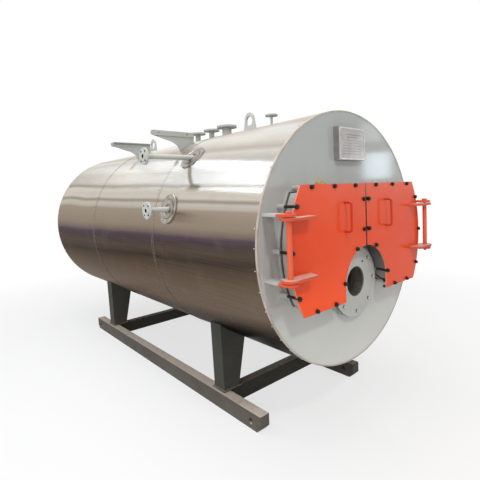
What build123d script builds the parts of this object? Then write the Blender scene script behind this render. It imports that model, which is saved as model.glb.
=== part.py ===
"""Horizontal three-pass fire-tube gas boiler on a two-rail skid, in millimetres.

X runs across, Y from the burner end to the flue end, Z up from the floor.
The origin lies on the floor, under the drum's axis, at the middle of the front cross beam.
Left and right are as seen by someone who faces the front doors.
"""
import os
from math import acos, atan2, cos, hypot, radians, sin, sqrt

from build123d import *

os.makedirs("parts", exist_ok=True)

# Drum: stainless cladding and insulation round a pressure vessel
vessel_radius = 700.0
vessel_wall = 14.0
insulation_thickness = 97.0
cladding_thickness = 3.0
drum_length = 3578.0
drum_axis_height = 1210.0
sheet_width = 1219.0
end_plate_thickness = 6.0
seat_gap = 0.3
pass_gap = 1.5
overrun = 20.0

# Skid rails and cross beams, all of one closed section
rail_length = 2834.0
rail_height = 113.0
rail_width = 76.0
rail_spacing = 1010.0
rail_nose = 36.0
front_overhang = 316.0
tow_hole_radius = 19.0
tow_hole_inset = 92.0
tow_hole_height = 52.0

# Legs: tapered boxes from a foot pad on the rail up to the vessel
leg_depth = 119.0
leg_front_offset = 725.0
leg_pitch = 1999.0
leg_rail_lap = 6.0
leg_foot_width = 135.0
leg_top_width = 285.0
leg_lean = 16.0
pad_thickness = 6.0
pad_margin = 12.0

# Furnace tube, low in the vessel, and the burner port on its axis
furnace_radius = 300.0
furnace_wall = 12.0
furnace_length = 2400.0
furnace_bottom_gap = 111.0
burner_flange_radius = 225.0
burner_flange_thickness = 16.0
burner_flange_offset = 41.0
burner_port_radius = 95.0
burner_bolt_circle_radius = 190.0
burner_bolt_count = 8
burner_bolt_radius = 7.0
throat_outer_radius = 140.0
throat_length = 430.0

# Front smoke box and its tube plate
tube_plate_recess = 120.0
tube_plate_thickness = 18.0
smoke_box_margin = 60.0
smoke_box_half_height = 305.0
smoke_box_wall = 10.0
mullion_half_width = 55.0
arch_rise = 13.0
arch_wall_radius = 275.0
tube_hole_radius = 23.0
tube_hole_depth = 12.0
tube_pitch = 92.0
tube_columns = 6
tube_rows = 6

# Doors, with the places of their studs as shares of an edge or as degrees round it
door_face_offset = 126.0
door_thickness = 10.0
door_rim_lap = 48.0
door_edge_lap = 41.0
door_arch_lap = 49.0
door_seam_gap = 10.0
door_seal_gap = 5.0
lining_thickness = 55.0
lining_clearance = 16.0
stud_radius = 8.0
stud_inset = 13.0
stud_slot_radius = 11.0
top_stud_shares = (0.19, 0.53, 0.86)
bottom_stud_shares = (0.55, 0.83)
seam_stud_shares = (0.72, 0.19)
rim_stud_turns = (20.5, 0.3, -20.5)
arch_stud_turns = (7.0, 64.0)
handle_x = 221.0
handle_low = 70.0
handle_high = 238.0
handle_standoff = 46.0
handle_bar_radius = 7.0
handle_bend_radius = 16.0

# Hinges: reach beyond the door's rim, standoff in front of its face
hinge_reach = 35.0
hinge_standoff = 30.0
hinge_tube_radius = 14.0
hinge_tube_low = -114.0
hinge_tube_high = 174.0
hinge_plate_thickness = 14.0
hinge_gap = 5.0
hinge_arm_radius = 44.0
hinge_arm_front_length = 160.0
hinge_arm_back_length = 184.0
hinge_bracket_radius = 38.0
hinge_bracket_outer_foot = 34.0
hinge_bracket_inner_foot = 48.0
pin_radius = 9.0
pin_clearance = 0.4
pin_head_radius = 17.0
pin_head_height = 12.0

# Flanged branches, those on top by their distance from the front plate
flange_rise = 97.0
flange_bolt_count = 4
flange_bolt_turn = 45.0
raised_face_height = 3.0
steam_outlet = dict(y=1219.0, flange_radius=86.0, flange_thickness=20.0, raised_face_radius=58.0,
                    neck_radius=40.0, bore_radius=35.0, bolt_circle_radius=70.0, bolt_radius=9.0)
front_safety_branch = dict(y=1444.0, flange_radius=72.0, flange_thickness=18.0, raised_face_radius=42.0,
                           neck_radius=24.0, bore_radius=20.0, bolt_circle_radius=54.0, bolt_radius=9.0)
safety_branch_pitch = 223.0
rear_safety_branch = dict(front_safety_branch, y=front_safety_branch["y"] + safety_branch_pitch)
pressure_branch = dict(y=666.0, flange_radius=47.5, flange_thickness=14.0, raised_face_radius=22.5,
                       neck_radius=9.0, bore_radius=6.5, bolt_circle_radius=32.5, bolt_radius=7.0)
level_branch = dict(y=925.0, flange_radius=57.5, flange_thickness=16.0, raised_face_radius=34.0,
                    neck_radius=17.0, bore_radius=13.5, bolt_circle_radius=42.5, bolt_radius=7.0)
level_flange_reach = 136.0
level_upper_height = 580.0
level_lower_height = 224.0
collar_radius = 104.0
collar_thickness = 5.0

# Lifting lugs on the top line
lug_front_y = 915.0
lug_rear_y = 2574.0
lug_base_width = 146.0
lug_top_radius = 50.0
lug_top_rise = 104.0
lug_eye_radius = 38.0
lug_eye_rise = 87.0
lug_thickness = 16.0

# Platform brackets on the left side
bracket_tip = 687.0
bracket_root = 300.0
bracket_rise = 23.0
bracket_leg = 40.0
bracket_plate = 6.0
bracket_front_y = 1280.0
bracket_rear_y = 2075.0
bracket_hole_radius = 8.0
bracket_hole_inset = 66.0
gusset_tip = 660.0
gusset_knee_x = 497.0
gusset_knee_drop = 61.0
gusset_bend_x = 455.0
gusset_bend_drop = 88.0
gusset_foot_x = 434.0

# Nameplate box on the front plate
nameplate_width = 280.0
nameplate_height = 200.0
nameplate_depth = 40.0
nameplate_rim_gap = 105.0

# Flue end
flue_radius = 160.0
flue_wall = 6.0
flue_length = 150.0
flue_rise = 330.0
flue_flange_radius = 205.0
flue_flange_thickness = 10.0
flue_bolt_circle_radius = 186.0
flue_bolt_count = 12
flue_bolt_radius = 7.0
rear_cover_radius = 270.0
rear_cover_thickness = 16.0

# Lines that follow from the sizes above
sheet_inner_radius = vessel_radius + insulation_thickness
drum_radius = sheet_inner_radius + cladding_thickness
drum_top = drum_axis_height + drum_radius
front_y = -(leg_front_offset + rail_width / 2)
rear_y = front_y + drum_length
middle_seam_y = rear_y - 2 * sheet_width
rear_seam_y = rear_y - sheet_width
rail_centre = rail_spacing / 2
rail_inner = rail_centre - rail_width / 2
rail_start_y = front_y + front_overhang
rail_end_y = rail_start_y + rail_length
leg_outer_bottom = rail_centre + leg_rail_lap
leg_inner_bottom = leg_outer_bottom - leg_foot_width
leg_outer_top = leg_outer_bottom + leg_lean
leg_inner_top = leg_outer_top - leg_top_width
burner_drop = vessel_radius - vessel_wall - furnace_bottom_gap - furnace_radius
burner_height = drum_axis_height - burner_drop
arch_centre_drop = burner_drop - arch_rise
arch_height = drum_axis_height - arch_centre_drop
tube_plate_y = front_y + tube_plate_recess
vessel_front_y = tube_plate_y + tube_plate_thickness
vessel_rear_y = rear_y - tube_plate_recess
smoke_box_radius = vessel_radius - smoke_box_margin
door_radius = smoke_box_radius + door_rim_lap
door_half_height = smoke_box_half_height + door_edge_lap
door_arch_radius = arch_wall_radius - door_arch_lap
door_front_y = front_y - door_face_offset
door_back_y = door_front_y + door_thickness
smoke_box_front_y = door_back_y + door_seal_gap
hinge_x = door_radius + hinge_reach
hinge_y = door_front_y - hinge_standoff
throat_front_y = front_y - burner_flange_offset + burner_flange_thickness
level_y = front_y + level_branch["y"]
flue_height = drum_axis_height + flue_rise
sides = (("left", -1), ("right", 1))
leg_places = (("front", front_y + leg_front_offset), ("rear", front_y + leg_front_offset + leg_pitch))
lug_places = (("front", front_y + lug_front_y), ("rear", front_y + lug_rear_y))
level_places = (("upper", level_upper_height), ("lower", level_lower_height))
hinge_levels = ((hinge_tube_high, 1), (hinge_tube_low, -1))
top_branches = (("steam_outlet", steam_outlet), ("front_safety_valve_branch", front_safety_branch),
                ("rear_safety_valve_branch", rear_safety_branch), ("pressure_gauge_branch", pressure_branch))


def at_y(y):
    """Plane across the drum at a given Y, local axes X and Z, facing the front."""
    return Plane.XZ.offset(-y)


def keep(part, label):
    """Name a finished piece and write its file."""
    part.label = label
    export_step(part, f"parts/{label}.step")


def drum_core(radius):
    """Solid cylinder along the drum's axis, longer than the drum, for trimming pieces to it."""
    with BuildPart() as core:
        with BuildSketch(at_y(rear_y + overrun)):
            with Locations((0, drum_axis_height)):
                Circle(radius)
        extrude(amount=drum_length + 2 * overrun)
    return core.part


def leg_profile(hand, grow):
    """Front view of a leg on one side, up to a line inside the vessel."""
    foot = rail_height + pad_thickness
    top = drum_axis_height - sqrt(vessel_radius ** 2 - leg_outer_top ** 2) + overrun
    with BuildSketch() as profile:
        with BuildLine():
            Polyline((hand * (leg_outer_bottom + grow), foot), (hand * (leg_outer_top + grow), top),
                     (hand * (leg_inner_top - grow), top), (hand * (leg_inner_bottom - grow), foot),
                     close=True)
        make_face()
    return profile.sketch


def smoke_outline(inset):
    """Butterfly outline of the smoke box round the burner, moved inward by inset."""
    arch = arch_wall_radius + inset
    with BuildSketch() as outline:
        with Locations((0, drum_axis_height)):
            Circle(smoke_box_radius - inset)
            Rectangle(2 * smoke_box_radius, 2 * (smoke_box_half_height - inset), mode=Mode.INTERSECT)
        with Locations((0, arch_height)):
            Circle(arch, mode=Mode.SUBTRACT)
        with Locations((0, arch_height - smoke_box_radius / 2)):
            Rectangle(2 * arch, smoke_box_radius, mode=Mode.SUBTRACT)
    return outline.sketch


def chamber_outline(hand, inset):
    """Outline of one chamber of the smoke box, between its side wall and the centre mullion."""
    inner = mullion_half_width + inset
    span = smoke_box_radius
    with BuildSketch() as outline:
        add(smoke_outline(smoke_box_wall + inset))
        with Locations((hand * (inner + span / 2), drum_axis_height)):
            Rectangle(span, 2 * span, mode=Mode.INTERSECT)
    return outline.sketch


def door_studs(hand):
    """Centres of one door's studs with the direction in which each slot opens."""
    corner = sqrt(door_radius ** 2 - door_half_height ** 2)
    rim = door_radius - stud_inset
    level = door_half_height - stud_inset
    arch = door_arch_radius + stud_inset
    seam = door_seam_gap / 2 + stud_inset + stud_radius
    studs = [(share * corner, level, 90) for share in top_stud_shares]
    studs += [(share * corner, -level, -90) for share in bottom_stud_shares]
    studs += [(rim * cos(radians(turn)), rim * sin(radians(turn)), turn) for turn in rim_stud_turns]
    studs += [(arch * cos(radians(turn)), arch * sin(radians(turn)) - arch_centre_drop, turn + 180)
              for turn in arch_stud_turns]
    studs += [(seam, share * door_half_height, 180) for share in seam_stud_shares]
    if hand > 0:
        return studs
    return [(-x, z, 180 - turn) for x, z, turn in studs]


def flanged_pipe(seat, reach, sizes):
    """Straight neck along a plane's normal with a raised-face flange at its end, trimmed to the vessel."""
    with BuildPart() as pipe:
        with BuildSketch(seat):
            Circle(sizes["neck_radius"])
        extrude(amount=reach)
        with BuildSketch(seat.offset(reach - sizes["flange_thickness"])):
            Circle(sizes["flange_radius"])
            with PolarLocations(sizes["bolt_circle_radius"], flange_bolt_count, start_angle=flange_bolt_turn):
                Circle(sizes["bolt_radius"], mode=Mode.SUBTRACT)
        extrude(amount=sizes["flange_thickness"] - raised_face_height)
        with BuildSketch(seat.offset(reach - raised_face_height)):
            Circle(sizes["raised_face_radius"])
        extrude(amount=raised_face_height)
        with BuildSketch(seat):
            Circle(sizes["bore_radius"])
        extrude(amount=reach, mode=Mode.SUBTRACT)
        add(vessel_trim, mode=Mode.SUBTRACT)
    return pipe.part


vessel_trim = drum_core(vessel_radius + seat_gap)
cladding_trim = drum_core(drum_radius + seat_gap)

# Skid rails: closed sections with chamfered ends and a tow hole at each end
for side, hand in sides:
    with BuildPart() as rail:
        with BuildSketch(Plane.YZ.offset(hand * rail_centre - rail_width / 2)):
            with BuildLine():
                Polyline((rail_start_y, rail_height), (rail_end_y, rail_height), (rail_end_y, rail_nose),
                         (rail_end_y - rail_nose, 0), (rail_start_y + rail_nose, 0),
                         (rail_start_y, rail_nose), close=True)
            make_face()
            with Locations((rail_start_y + tow_hole_inset, tow_hole_height),
                           (rail_end_y - tow_hole_inset, tow_hole_height)):
                Circle(tow_hole_radius, mode=Mode.SUBTRACT)
        extrude(amount=rail_width)
    keep(rail.part, f"skid_rail_{side}")

# Cross beams between the rails, flush with the front of the legs
for place, leg_y in leg_places:
    with BuildPart() as beam:
        with BuildSketch():
            with Locations((0, leg_y + rail_width / 2)):
                Rectangle(2 * rail_inner, rail_width)
        extrude(amount=rail_height)
    keep(beam.part, f"skid_cross_beam_{place}")

# Legs with their foot pads, trimmed to the vessel
for place, leg_y in leg_places:
    for side, hand in sides:
        foot_x = hand * (leg_outer_bottom + leg_inner_bottom) / 2
        with BuildPart() as leg:
            with BuildSketch(at_y(leg_y + leg_depth)):
                add(leg_profile(hand, 0))
            extrude(amount=leg_depth)
            add(vessel_trim, mode=Mode.SUBTRACT)
            with BuildSketch(Plane.XY.offset(rail_height)):
                with Locations((foot_x, leg_y + leg_depth / 2)):
                    Rectangle(leg_foot_width + 2 * pad_margin, leg_depth + 2 * pad_margin)
            extrude(amount=pad_thickness)
        keep(leg.part, f"leg_{place}_{side}")

# Pressure vessel: shell, rear end plate and the furnace tube with its closed far end
with BuildPart() as shell:
    with BuildSketch(at_y(vessel_rear_y)):
        with Locations((0, drum_axis_height)):
            Circle(vessel_radius)
            Circle(vessel_radius - vessel_wall, mode=Mode.SUBTRACT)
    extrude(amount=vessel_rear_y - vessel_front_y)
keep(shell.part, "vessel_shell")

with BuildPart() as rear_end:
    with BuildSketch(at_y(vessel_rear_y + tube_plate_thickness)):
        with Locations((0, drum_axis_height)):
            Circle(vessel_radius)
    extrude(amount=tube_plate_thickness)
keep(rear_end.part, "vessel_rear_end")

with BuildPart() as furnace:
    with BuildSketch(at_y(vessel_front_y + furnace_length)):
        with Locations((0, burner_height)):
            Circle(furnace_radius)
    extrude(amount=furnace_length)
    with BuildSketch(at_y(vessel_front_y + furnace_length - furnace_wall)):
        with Locations((0, burner_height)):
            Circle(furnace_radius - furnace_wall)
    extrude(amount=furnace_length - furnace_wall, mode=Mode.SUBTRACT)
keep(furnace.part, "furnace_tube")

# Front tube plate with the fire-tube holes of both banks
tube_places = []
for row in range(tube_rows):
    for column in range(tube_columns):
        x = mullion_half_width + smoke_box_wall + tube_pitch / 2 + tube_pitch * column
        z = tube_pitch * (row - (tube_rows - 1) / 2)
        inside_rim = sqrt(x * x + z * z) < smoke_box_radius - tube_pitch / 2
        outside_arch = sqrt(x * x + (z + arch_centre_drop) ** 2) > arch_wall_radius + tube_pitch / 2
        if inside_rim and outside_arch:
            tube_places += [(x, drum_axis_height + z), (-x, drum_axis_height + z)]
with BuildPart() as tube_plate:
    with BuildSketch(at_y(vessel_front_y)):
        with Locations((0, drum_axis_height)):
            Circle(vessel_radius)
        with Locations((0, burner_height)):
            Circle(throat_outer_radius + seat_gap, mode=Mode.SUBTRACT)
    extrude(amount=tube_plate_thickness)
    with BuildSketch(at_y(tube_plate_y + tube_hole_depth)):
        with Locations(*tube_places):
            Circle(tube_hole_radius)
    extrude(amount=tube_hole_depth, mode=Mode.SUBTRACT)
keep(tube_plate.part, "front_tube_plate")

# Smoke box: plate walls in butterfly form, two chambers with a mullion between
chambers = [chamber_outline(hand, 0) for side, hand in sides]
with BuildPart() as smoke_box:
    with BuildSketch(at_y(tube_plate_y)):
        add(smoke_outline(0))
        add(chambers, mode=Mode.SUBTRACT)
    extrude(amount=tube_plate_y - smoke_box_front_y)
keep(smoke_box.part, "smoke_box")

# Front plate: round cover that closes the cladding round smoke box and burner throat
with BuildPart() as front_plate:
    with BuildSketch(at_y(front_y + end_plate_thickness)):
        with Locations((0, drum_axis_height)):
            Circle(sheet_inner_radius - seat_gap)
        add(smoke_outline(-seat_gap), mode=Mode.SUBTRACT)
        with Locations((0, burner_height)):
            Circle(throat_outer_radius + seat_gap, mode=Mode.SUBTRACT)
    extrude(amount=end_plate_thickness)
keep(front_plate.part, "front_plate")

# Burner throat: refractory sleeve from the burner flange into the furnace
with BuildPart() as throat:
    with BuildSketch(at_y(throat_front_y + throat_length)):
        with Locations((0, burner_height)):
            Circle(throat_outer_radius)
            Circle(burner_port_radius, mode=Mode.SUBTRACT)
    extrude(amount=throat_length)
keep(throat.part, "burner_throat")

# Burner flange: round plate with holes for the burner's bolts
with BuildPart() as burner_flange:
    with BuildSketch(at_y(throat_front_y)):
        with Locations((0, burner_height)):
            Circle(burner_flange_radius)
            Circle(burner_port_radius, mode=Mode.SUBTRACT)
            with PolarLocations(burner_bolt_circle_radius, burner_bolt_count):
                Circle(burner_bolt_radius, mode=Mode.SUBTRACT)
    extrude(amount=burner_flange_thickness)
keep(burner_flange.part, "burner_flange")

# Top branches: flanged necks welded to the vessel
for label, sizes in top_branches:
    seat = Plane(origin=(0, front_y + sizes["y"], drum_axis_height), x_dir=(1, 0, 0), z_dir=(0, 0, 1))
    keep(flanged_pipe(seat, drum_radius + flange_rise, sizes), label)

# Level-gauge branches: flanged pipes, one above the other on the left side
for place, rise in level_places:
    seat = Plane(origin=(0, level_y, drum_axis_height + rise), x_dir=(0, 1, 0), z_dir=(-1, 0, 0))
    keep(flanged_pipe(seat, drum_radius + level_flange_reach, level_branch), f"level_branch_{place}")

# Collars: round cover plates dished onto the cladding where the level pipes come out
for place, rise in level_places:
    reach = sqrt(drum_radius ** 2 - rise ** 2)
    outward = Vector(-reach, 0, rise).normalized()
    root = Vector(-reach, level_y, drum_axis_height + rise)
    sink = drum_radius - sqrt(drum_radius ** 2 - collar_radius ** 2) + collar_thickness
    seat = Plane(origin=root - outward * sink, x_dir=(0, 1, 0), z_dir=outward)
    with BuildPart() as collar:
        with BuildSketch(seat):
            Circle(collar_radius)
        extrude(amount=sink + collar_thickness)
        with BuildSketch(Plane.YZ):
            with Locations((level_y, drum_axis_height + rise)):
                Circle(level_branch["neck_radius"] + seat_gap)
        extrude(amount=-(drum_radius + level_flange_reach), mode=Mode.SUBTRACT)
        add(cladding_trim, mode=Mode.SUBTRACT)
    keep(collar.part, f"level_collar_{place}")

# Lifting lugs: upright plates on the top line, welded to the vessel
for place, lug_y in lug_places:
    half_base = lug_base_width / 2
    lean = acos(lug_top_radius / hypot(half_base, lug_top_rise)) - atan2(lug_top_rise, half_base)
    lug_top = drum_top + lug_top_rise + lug_top_radius
    shoulder = lug_top_radius * cos(lean)
    shoulder_z = drum_top + lug_top_rise + lug_top_radius * sin(lean)
    with BuildPart() as lug:
        with BuildSketch(Plane.YZ.offset(-lug_thickness / 2)):
            with BuildLine():
                ThreePointArc((lug_y + shoulder, shoulder_z), (lug_y, lug_top), (lug_y - shoulder, shoulder_z))
                Polyline((lug_y - shoulder, shoulder_z), (lug_y - half_base, drum_top),
                         (lug_y - half_base, drum_axis_height), (lug_y + half_base, drum_axis_height),
                         (lug_y + half_base, drum_top), (lug_y + shoulder, shoulder_z))
            make_face()
            with Locations((lug_y, drum_top + lug_eye_rise)):
                Circle(lug_eye_radius, mode=Mode.SUBTRACT)
        extrude(amount=lug_thickness)
        add(vessel_trim, mode=Mode.SUBTRACT)
    keep(lug.part, f"lifting_lug_{place}")

# Platform brackets: angle arms with a gusset inside the upright leg, the two facing each other
for place, arm_y, turn in (("front", front_y + bracket_front_y, 1), ("rear", front_y + bracket_rear_y, -1)):
    inside_y = arm_y + turn * bracket_plate
    top = drum_top + bracket_rise
    web_height = top - bracket_leg / 2
    arm_mid = -(bracket_tip + bracket_root) / 2
    arm_length = bracket_tip - bracket_root
    gusset_foot_z = drum_axis_height + sqrt(drum_radius ** 2 - gusset_foot_x ** 2)
    with BuildPart() as bracket:
        with BuildSketch(at_y(max(arm_y, inside_y))):
            with Locations((arm_mid, web_height)):
                SlotOverall(arm_length, bracket_leg)
            with Locations((arm_mid + bracket_leg / 2, web_height)):
                Rectangle(arm_length - bracket_leg, bracket_leg)
            with Locations((bracket_hole_inset - bracket_tip, web_height),
                           (-bracket_root - bracket_hole_inset, web_height)):
                Circle(bracket_hole_radius, mode=Mode.SUBTRACT)
        extrude(amount=bracket_plate)
        with BuildSketch(at_y(max(inside_y, inside_y + turn * bracket_plate))):
            with BuildLine():
                Polyline((-gusset_tip, top - bracket_plate / 2), (-gusset_tip, top - bracket_leg),
                         (-gusset_knee_x, drum_top - gusset_knee_drop),
                         (-gusset_bend_x, drum_top - gusset_bend_drop),
                         (-gusset_foot_x, gusset_foot_z), (-bracket_root, drum_axis_height),
                         (-bracket_root, top - bracket_plate / 2), close=True)
            make_face()
        extrude(amount=bracket_plate)
        with BuildSketch(Plane.XY.offset(top - bracket_plate)):
            with Locations((arm_mid + bracket_leg / 4, arm_y + turn * bracket_leg / 2)):
                Rectangle(arm_length - bracket_leg / 2, bracket_leg)
        extrude(amount=bracket_plate)
        add(cladding_trim, mode=Mode.SUBTRACT)
    keep(bracket.part, f"platform_bracket_{place}")

# Cladding: three sheet courses, cut out where branches, lugs, legs and level pipes pass
for place, start_y, end_y in (("front", front_y, middle_seam_y), ("middle", middle_seam_y, rear_seam_y),
                              ("rear", rear_seam_y, rear_y)):
    with BuildPart() as cladding:
        with BuildSketch(at_y(end_y)):
            with Locations((0, drum_axis_height)):
                Circle(drum_radius)
                Circle(sheet_inner_radius, mode=Mode.SUBTRACT)
        extrude(amount=end_y - start_y)
        with BuildSketch(Plane.XY.offset(drum_axis_height)):
            for label, sizes in top_branches:
                with Locations((0, front_y + sizes["y"])):
                    Circle(sizes["neck_radius"] + pass_gap)
            for lug_place, lug_y in lug_places:
                with Locations((0, lug_y)):
                    Rectangle(lug_thickness + 2 * pass_gap, lug_base_width + 2 * pass_gap)
        extrude(amount=drum_radius + overrun, mode=Mode.SUBTRACT)
        with BuildSketch(Plane.YZ):
            for level_place, rise in level_places:
                with Locations((level_y, drum_axis_height + rise)):
                    Circle(level_branch["neck_radius"] + pass_gap)
        extrude(amount=-(drum_radius + overrun), mode=Mode.SUBTRACT)
        for leg_place, leg_y in leg_places:
            with BuildSketch(at_y(leg_y + leg_depth + pass_gap)):
                for side, hand in sides:
                    add(leg_profile(hand, pass_gap))
            extrude(amount=leg_depth + 2 * pass_gap, mode=Mode.SUBTRACT)
    keep(cladding.part, f"cladding_{place}")

# Flue end: rear plate, access cover and flue outlet
with BuildPart() as rear_plate:
    with BuildSketch(at_y(rear_y)):
        with Locations((0, drum_axis_height)):
            Circle(sheet_inner_radius - seat_gap)
        with Locations((0, flue_height)):
            Circle(flue_radius + seat_gap, mode=Mode.SUBTRACT)
    extrude(amount=end_plate_thickness)
keep(rear_plate.part, "rear_plate")

with BuildPart() as rear_cover:
    with BuildSketch(at_y(rear_y + rear_cover_thickness)):
        with Locations((0, burner_height)):
            Circle(rear_cover_radius)
    extrude(amount=rear_cover_thickness)
keep(rear_cover.part, "rear_access_cover")

with BuildPart() as flue:
    with BuildSketch(at_y(rear_y + flue_length)):
        with Locations((0, flue_height)):
            Circle(flue_radius)
    extrude(amount=flue_length + end_plate_thickness)
    with BuildSketch(at_y(rear_y + flue_length)):
        with Locations((0, flue_height)):
            Circle(flue_flange_radius)
            with PolarLocations(flue_bolt_circle_radius, flue_bolt_count):
                Circle(flue_bolt_radius, mode=Mode.SUBTRACT)
    extrude(amount=flue_flange_thickness)
    with BuildSketch(at_y(rear_y + flue_length)):
        with Locations((0, flue_height)):
            Circle(flue_radius - flue_wall)
    extrude(amount=flue_length + end_plate_thickness, mode=Mode.SUBTRACT)
keep(flue.part, "flue_outlet")

# Nameplate box on the upper part of the front plate
nameplate_height_above_axis = sheet_inner_radius - nameplate_rim_gap - nameplate_height / 2
with BuildPart() as nameplate:
    with BuildSketch(at_y(front_y)):
        with Locations((0, drum_axis_height + nameplate_height_above_axis)):
            Rectangle(nameplate_width, nameplate_height)
    extrude(amount=nameplate_depth)
keep(nameplate.part, "nameplate_box")

# Hinge brackets and headed pins on the front plate
for side, hand in sides:
    pivot = (hand * hinge_x, hinge_y)
    with BuildPart() as hinge_brackets:
        for level, way in hinge_levels:
            near = level + way * (hinge_plate_thickness + hinge_gap)
            bottom = drum_axis_height + min(near, near + way * hinge_plate_thickness)
            with BuildSketch(Plane.XY.offset(bottom)):
                with BuildLine():
                    Polyline((hand * (hinge_x + hinge_bracket_outer_foot), front_y),
                             (hand * (hinge_x + hinge_bracket_radius), hinge_y),
                             (hand * (hinge_x - hinge_bracket_radius), hinge_y),
                             (hand * (hinge_x - hinge_bracket_inner_foot), front_y), close=True)
                make_face()
                with Locations(pivot):
                    Circle(hinge_bracket_radius)
                    Circle(pin_radius + seat_gap, mode=Mode.SUBTRACT)
            extrude(amount=hinge_plate_thickness)
    keep(hinge_brackets.part, f"hinge_brackets_{side}")

    outer_face = 2 * hinge_plate_thickness + hinge_gap
    pin_top = drum_axis_height + hinge_tube_high + outer_face
    pin_bottom = drum_axis_height + hinge_tube_low - outer_face - pin_head_height
    with BuildPart() as pin:
        with BuildSketch(Plane.XY.offset(pin_bottom)):
            with Locations(pivot):
                Circle(pin_radius)
        extrude(amount=pin_top - pin_bottom)
        with BuildSketch(Plane.XY.offset(pin_top)):
            with Locations(pivot):
                Circle(pin_head_radius)
        extrude(amount=pin_head_height)
    keep(pin.part, f"hinge_pin_{side}")

# Doors: plate with stud slots, lining, hinge arms, hinge tube and handle
for side, hand in sides:
    pivot = (hand * hinge_x, hinge_y)
    with BuildPart() as panel:
        with BuildSketch(at_y(door_back_y)):
            with Locations((0, drum_axis_height)):
                Circle(door_radius)
                Rectangle(2 * door_radius, 2 * door_half_height, mode=Mode.INTERSECT)
            with Locations((0, arch_height)):
                Circle(door_arch_radius, mode=Mode.SUBTRACT)
            with Locations((0, arch_height - door_radius / 2)):
                Rectangle(2 * door_arch_radius, door_radius, mode=Mode.SUBTRACT)
            with Locations((hand * (door_seam_gap / 2 + door_radius / 2), drum_axis_height)):
                Rectangle(door_radius, 2 * door_radius, mode=Mode.INTERSECT)
            for x, z, turn in door_studs(hand):
                with Locations(Location((x, drum_axis_height + z, 0), (0, 0, turn))):
                    Circle(stud_slot_radius, mode=Mode.SUBTRACT)
                    Rectangle(2 * stud_inset + overrun, 2 * stud_slot_radius,
                              align=(Align.MIN, Align.CENTER), mode=Mode.SUBTRACT)
        extrude(amount=door_thickness)
    keep(panel.part, f"{side}_door_panel")

    with BuildPart() as lining:
        with BuildSketch(at_y(door_back_y + lining_thickness)):
            add(chamber_outline(hand, lining_clearance))
        extrude(amount=lining_thickness)
    keep(lining.part, f"{side}_door_lining")

    with BuildPart() as arms:
        for level, way in hinge_levels:
            bottom = drum_axis_height + min(level, level + way * hinge_plate_thickness)
            with BuildSketch(Plane.XY.offset(bottom)):
                with BuildLine():
                    Polyline((hand * hinge_x, hinge_y - hinge_arm_radius),
                             (hand * (hinge_x - hinge_arm_front_length), hinge_y - hinge_arm_radius),
                             (hand * (hinge_x - hinge_arm_back_length), door_front_y),
                             (hand * hinge_x, door_front_y), close=True)
                make_face()
                with Locations(pivot):
                    Circle(hinge_arm_radius)
                    Circle(pin_radius + pin_clearance, mode=Mode.SUBTRACT)
            extrude(amount=hinge_plate_thickness)
    keep(arms.part, f"{side}_door_hinge_arms")

    with BuildPart() as tube:
        with BuildSketch(Plane.XY.offset(drum_axis_height + hinge_tube_low)):
            with Locations(pivot):
                Circle(hinge_tube_radius)
                Circle(pin_radius + pin_clearance, mode=Mode.SUBTRACT)
        extrude(amount=hinge_tube_high - hinge_tube_low)
    keep(tube.part, f"{side}_door_hinge_tube")

    low = drum_axis_height + handle_low
    high = drum_axis_height + handle_high
    grip_y = door_front_y - handle_standoff
    with BuildPart() as handle:
        with BuildLine(Plane.YZ.offset(hand * handle_x)) as bar:
            FilletPolyline((door_front_y, low), (grip_y, low), (grip_y, high), (door_front_y, high),
                           radius=handle_bend_radius)
        with BuildSketch(bar.line ^ 0):
            Circle(handle_bar_radius)
        sweep(path=bar.line)
    keep(handle.part, f"{side}_door_handle")
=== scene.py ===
import bmesh
import bpy
import math
import random
from mathutils import Matrix, Vector


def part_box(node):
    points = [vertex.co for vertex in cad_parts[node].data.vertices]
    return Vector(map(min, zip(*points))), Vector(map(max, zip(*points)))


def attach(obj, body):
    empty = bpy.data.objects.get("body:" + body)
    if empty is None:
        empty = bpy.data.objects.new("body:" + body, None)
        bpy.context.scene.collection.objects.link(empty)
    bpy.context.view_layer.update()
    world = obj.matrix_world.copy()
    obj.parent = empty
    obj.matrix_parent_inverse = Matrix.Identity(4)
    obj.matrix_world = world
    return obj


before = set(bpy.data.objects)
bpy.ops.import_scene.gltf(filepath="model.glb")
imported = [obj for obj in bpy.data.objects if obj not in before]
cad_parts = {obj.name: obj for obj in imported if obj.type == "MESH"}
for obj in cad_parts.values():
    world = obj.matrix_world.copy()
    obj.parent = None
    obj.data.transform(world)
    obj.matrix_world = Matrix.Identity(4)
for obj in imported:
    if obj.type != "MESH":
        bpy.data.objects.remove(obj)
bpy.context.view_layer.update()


# The skid: two closed steel rails with chamfered ends and two cross beams between them, welded up.
# Dark grey-green shop paint, brushed on, with brown floor dust low down and scuffed edges.
def chart(red, green, blue):
    """A colour from the paint chart, 0 to 255, as the linear colour that a shader takes."""
    shares = [part / 255 for part in (red, green, blue)]
    return tuple(s / 12.92 if s <= 0.04045 else ((s + 0.055) / 1.055) ** 2.4 for s in shares) + (1.0,)


def step(tree, kind, feeds=None, **settings):
    """Adds one node. A feed that is a socket is linked, and any other is written in."""
    made = tree.nodes.new(kind)
    for name, value in settings.items():
        setattr(made, name, value)
    for name, value in (feeds or {}).items():
        if isinstance(value, bpy.types.NodeSocket):
            tree.links.new(value, made.inputs[name])
        else:
            made.inputs[name].default_value = value
    return made


def sum_of(tree, operation, *values):
    """One sum on numbers, such as ADD or ABSOLUTE."""
    return step(tree, "ShaderNodeMath", dict(enumerate(values)), operation=operation).outputs[0]


def times(tree, first, second):
    """One number times another."""
    return sum_of(tree, "MULTIPLY", first, second)


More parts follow.
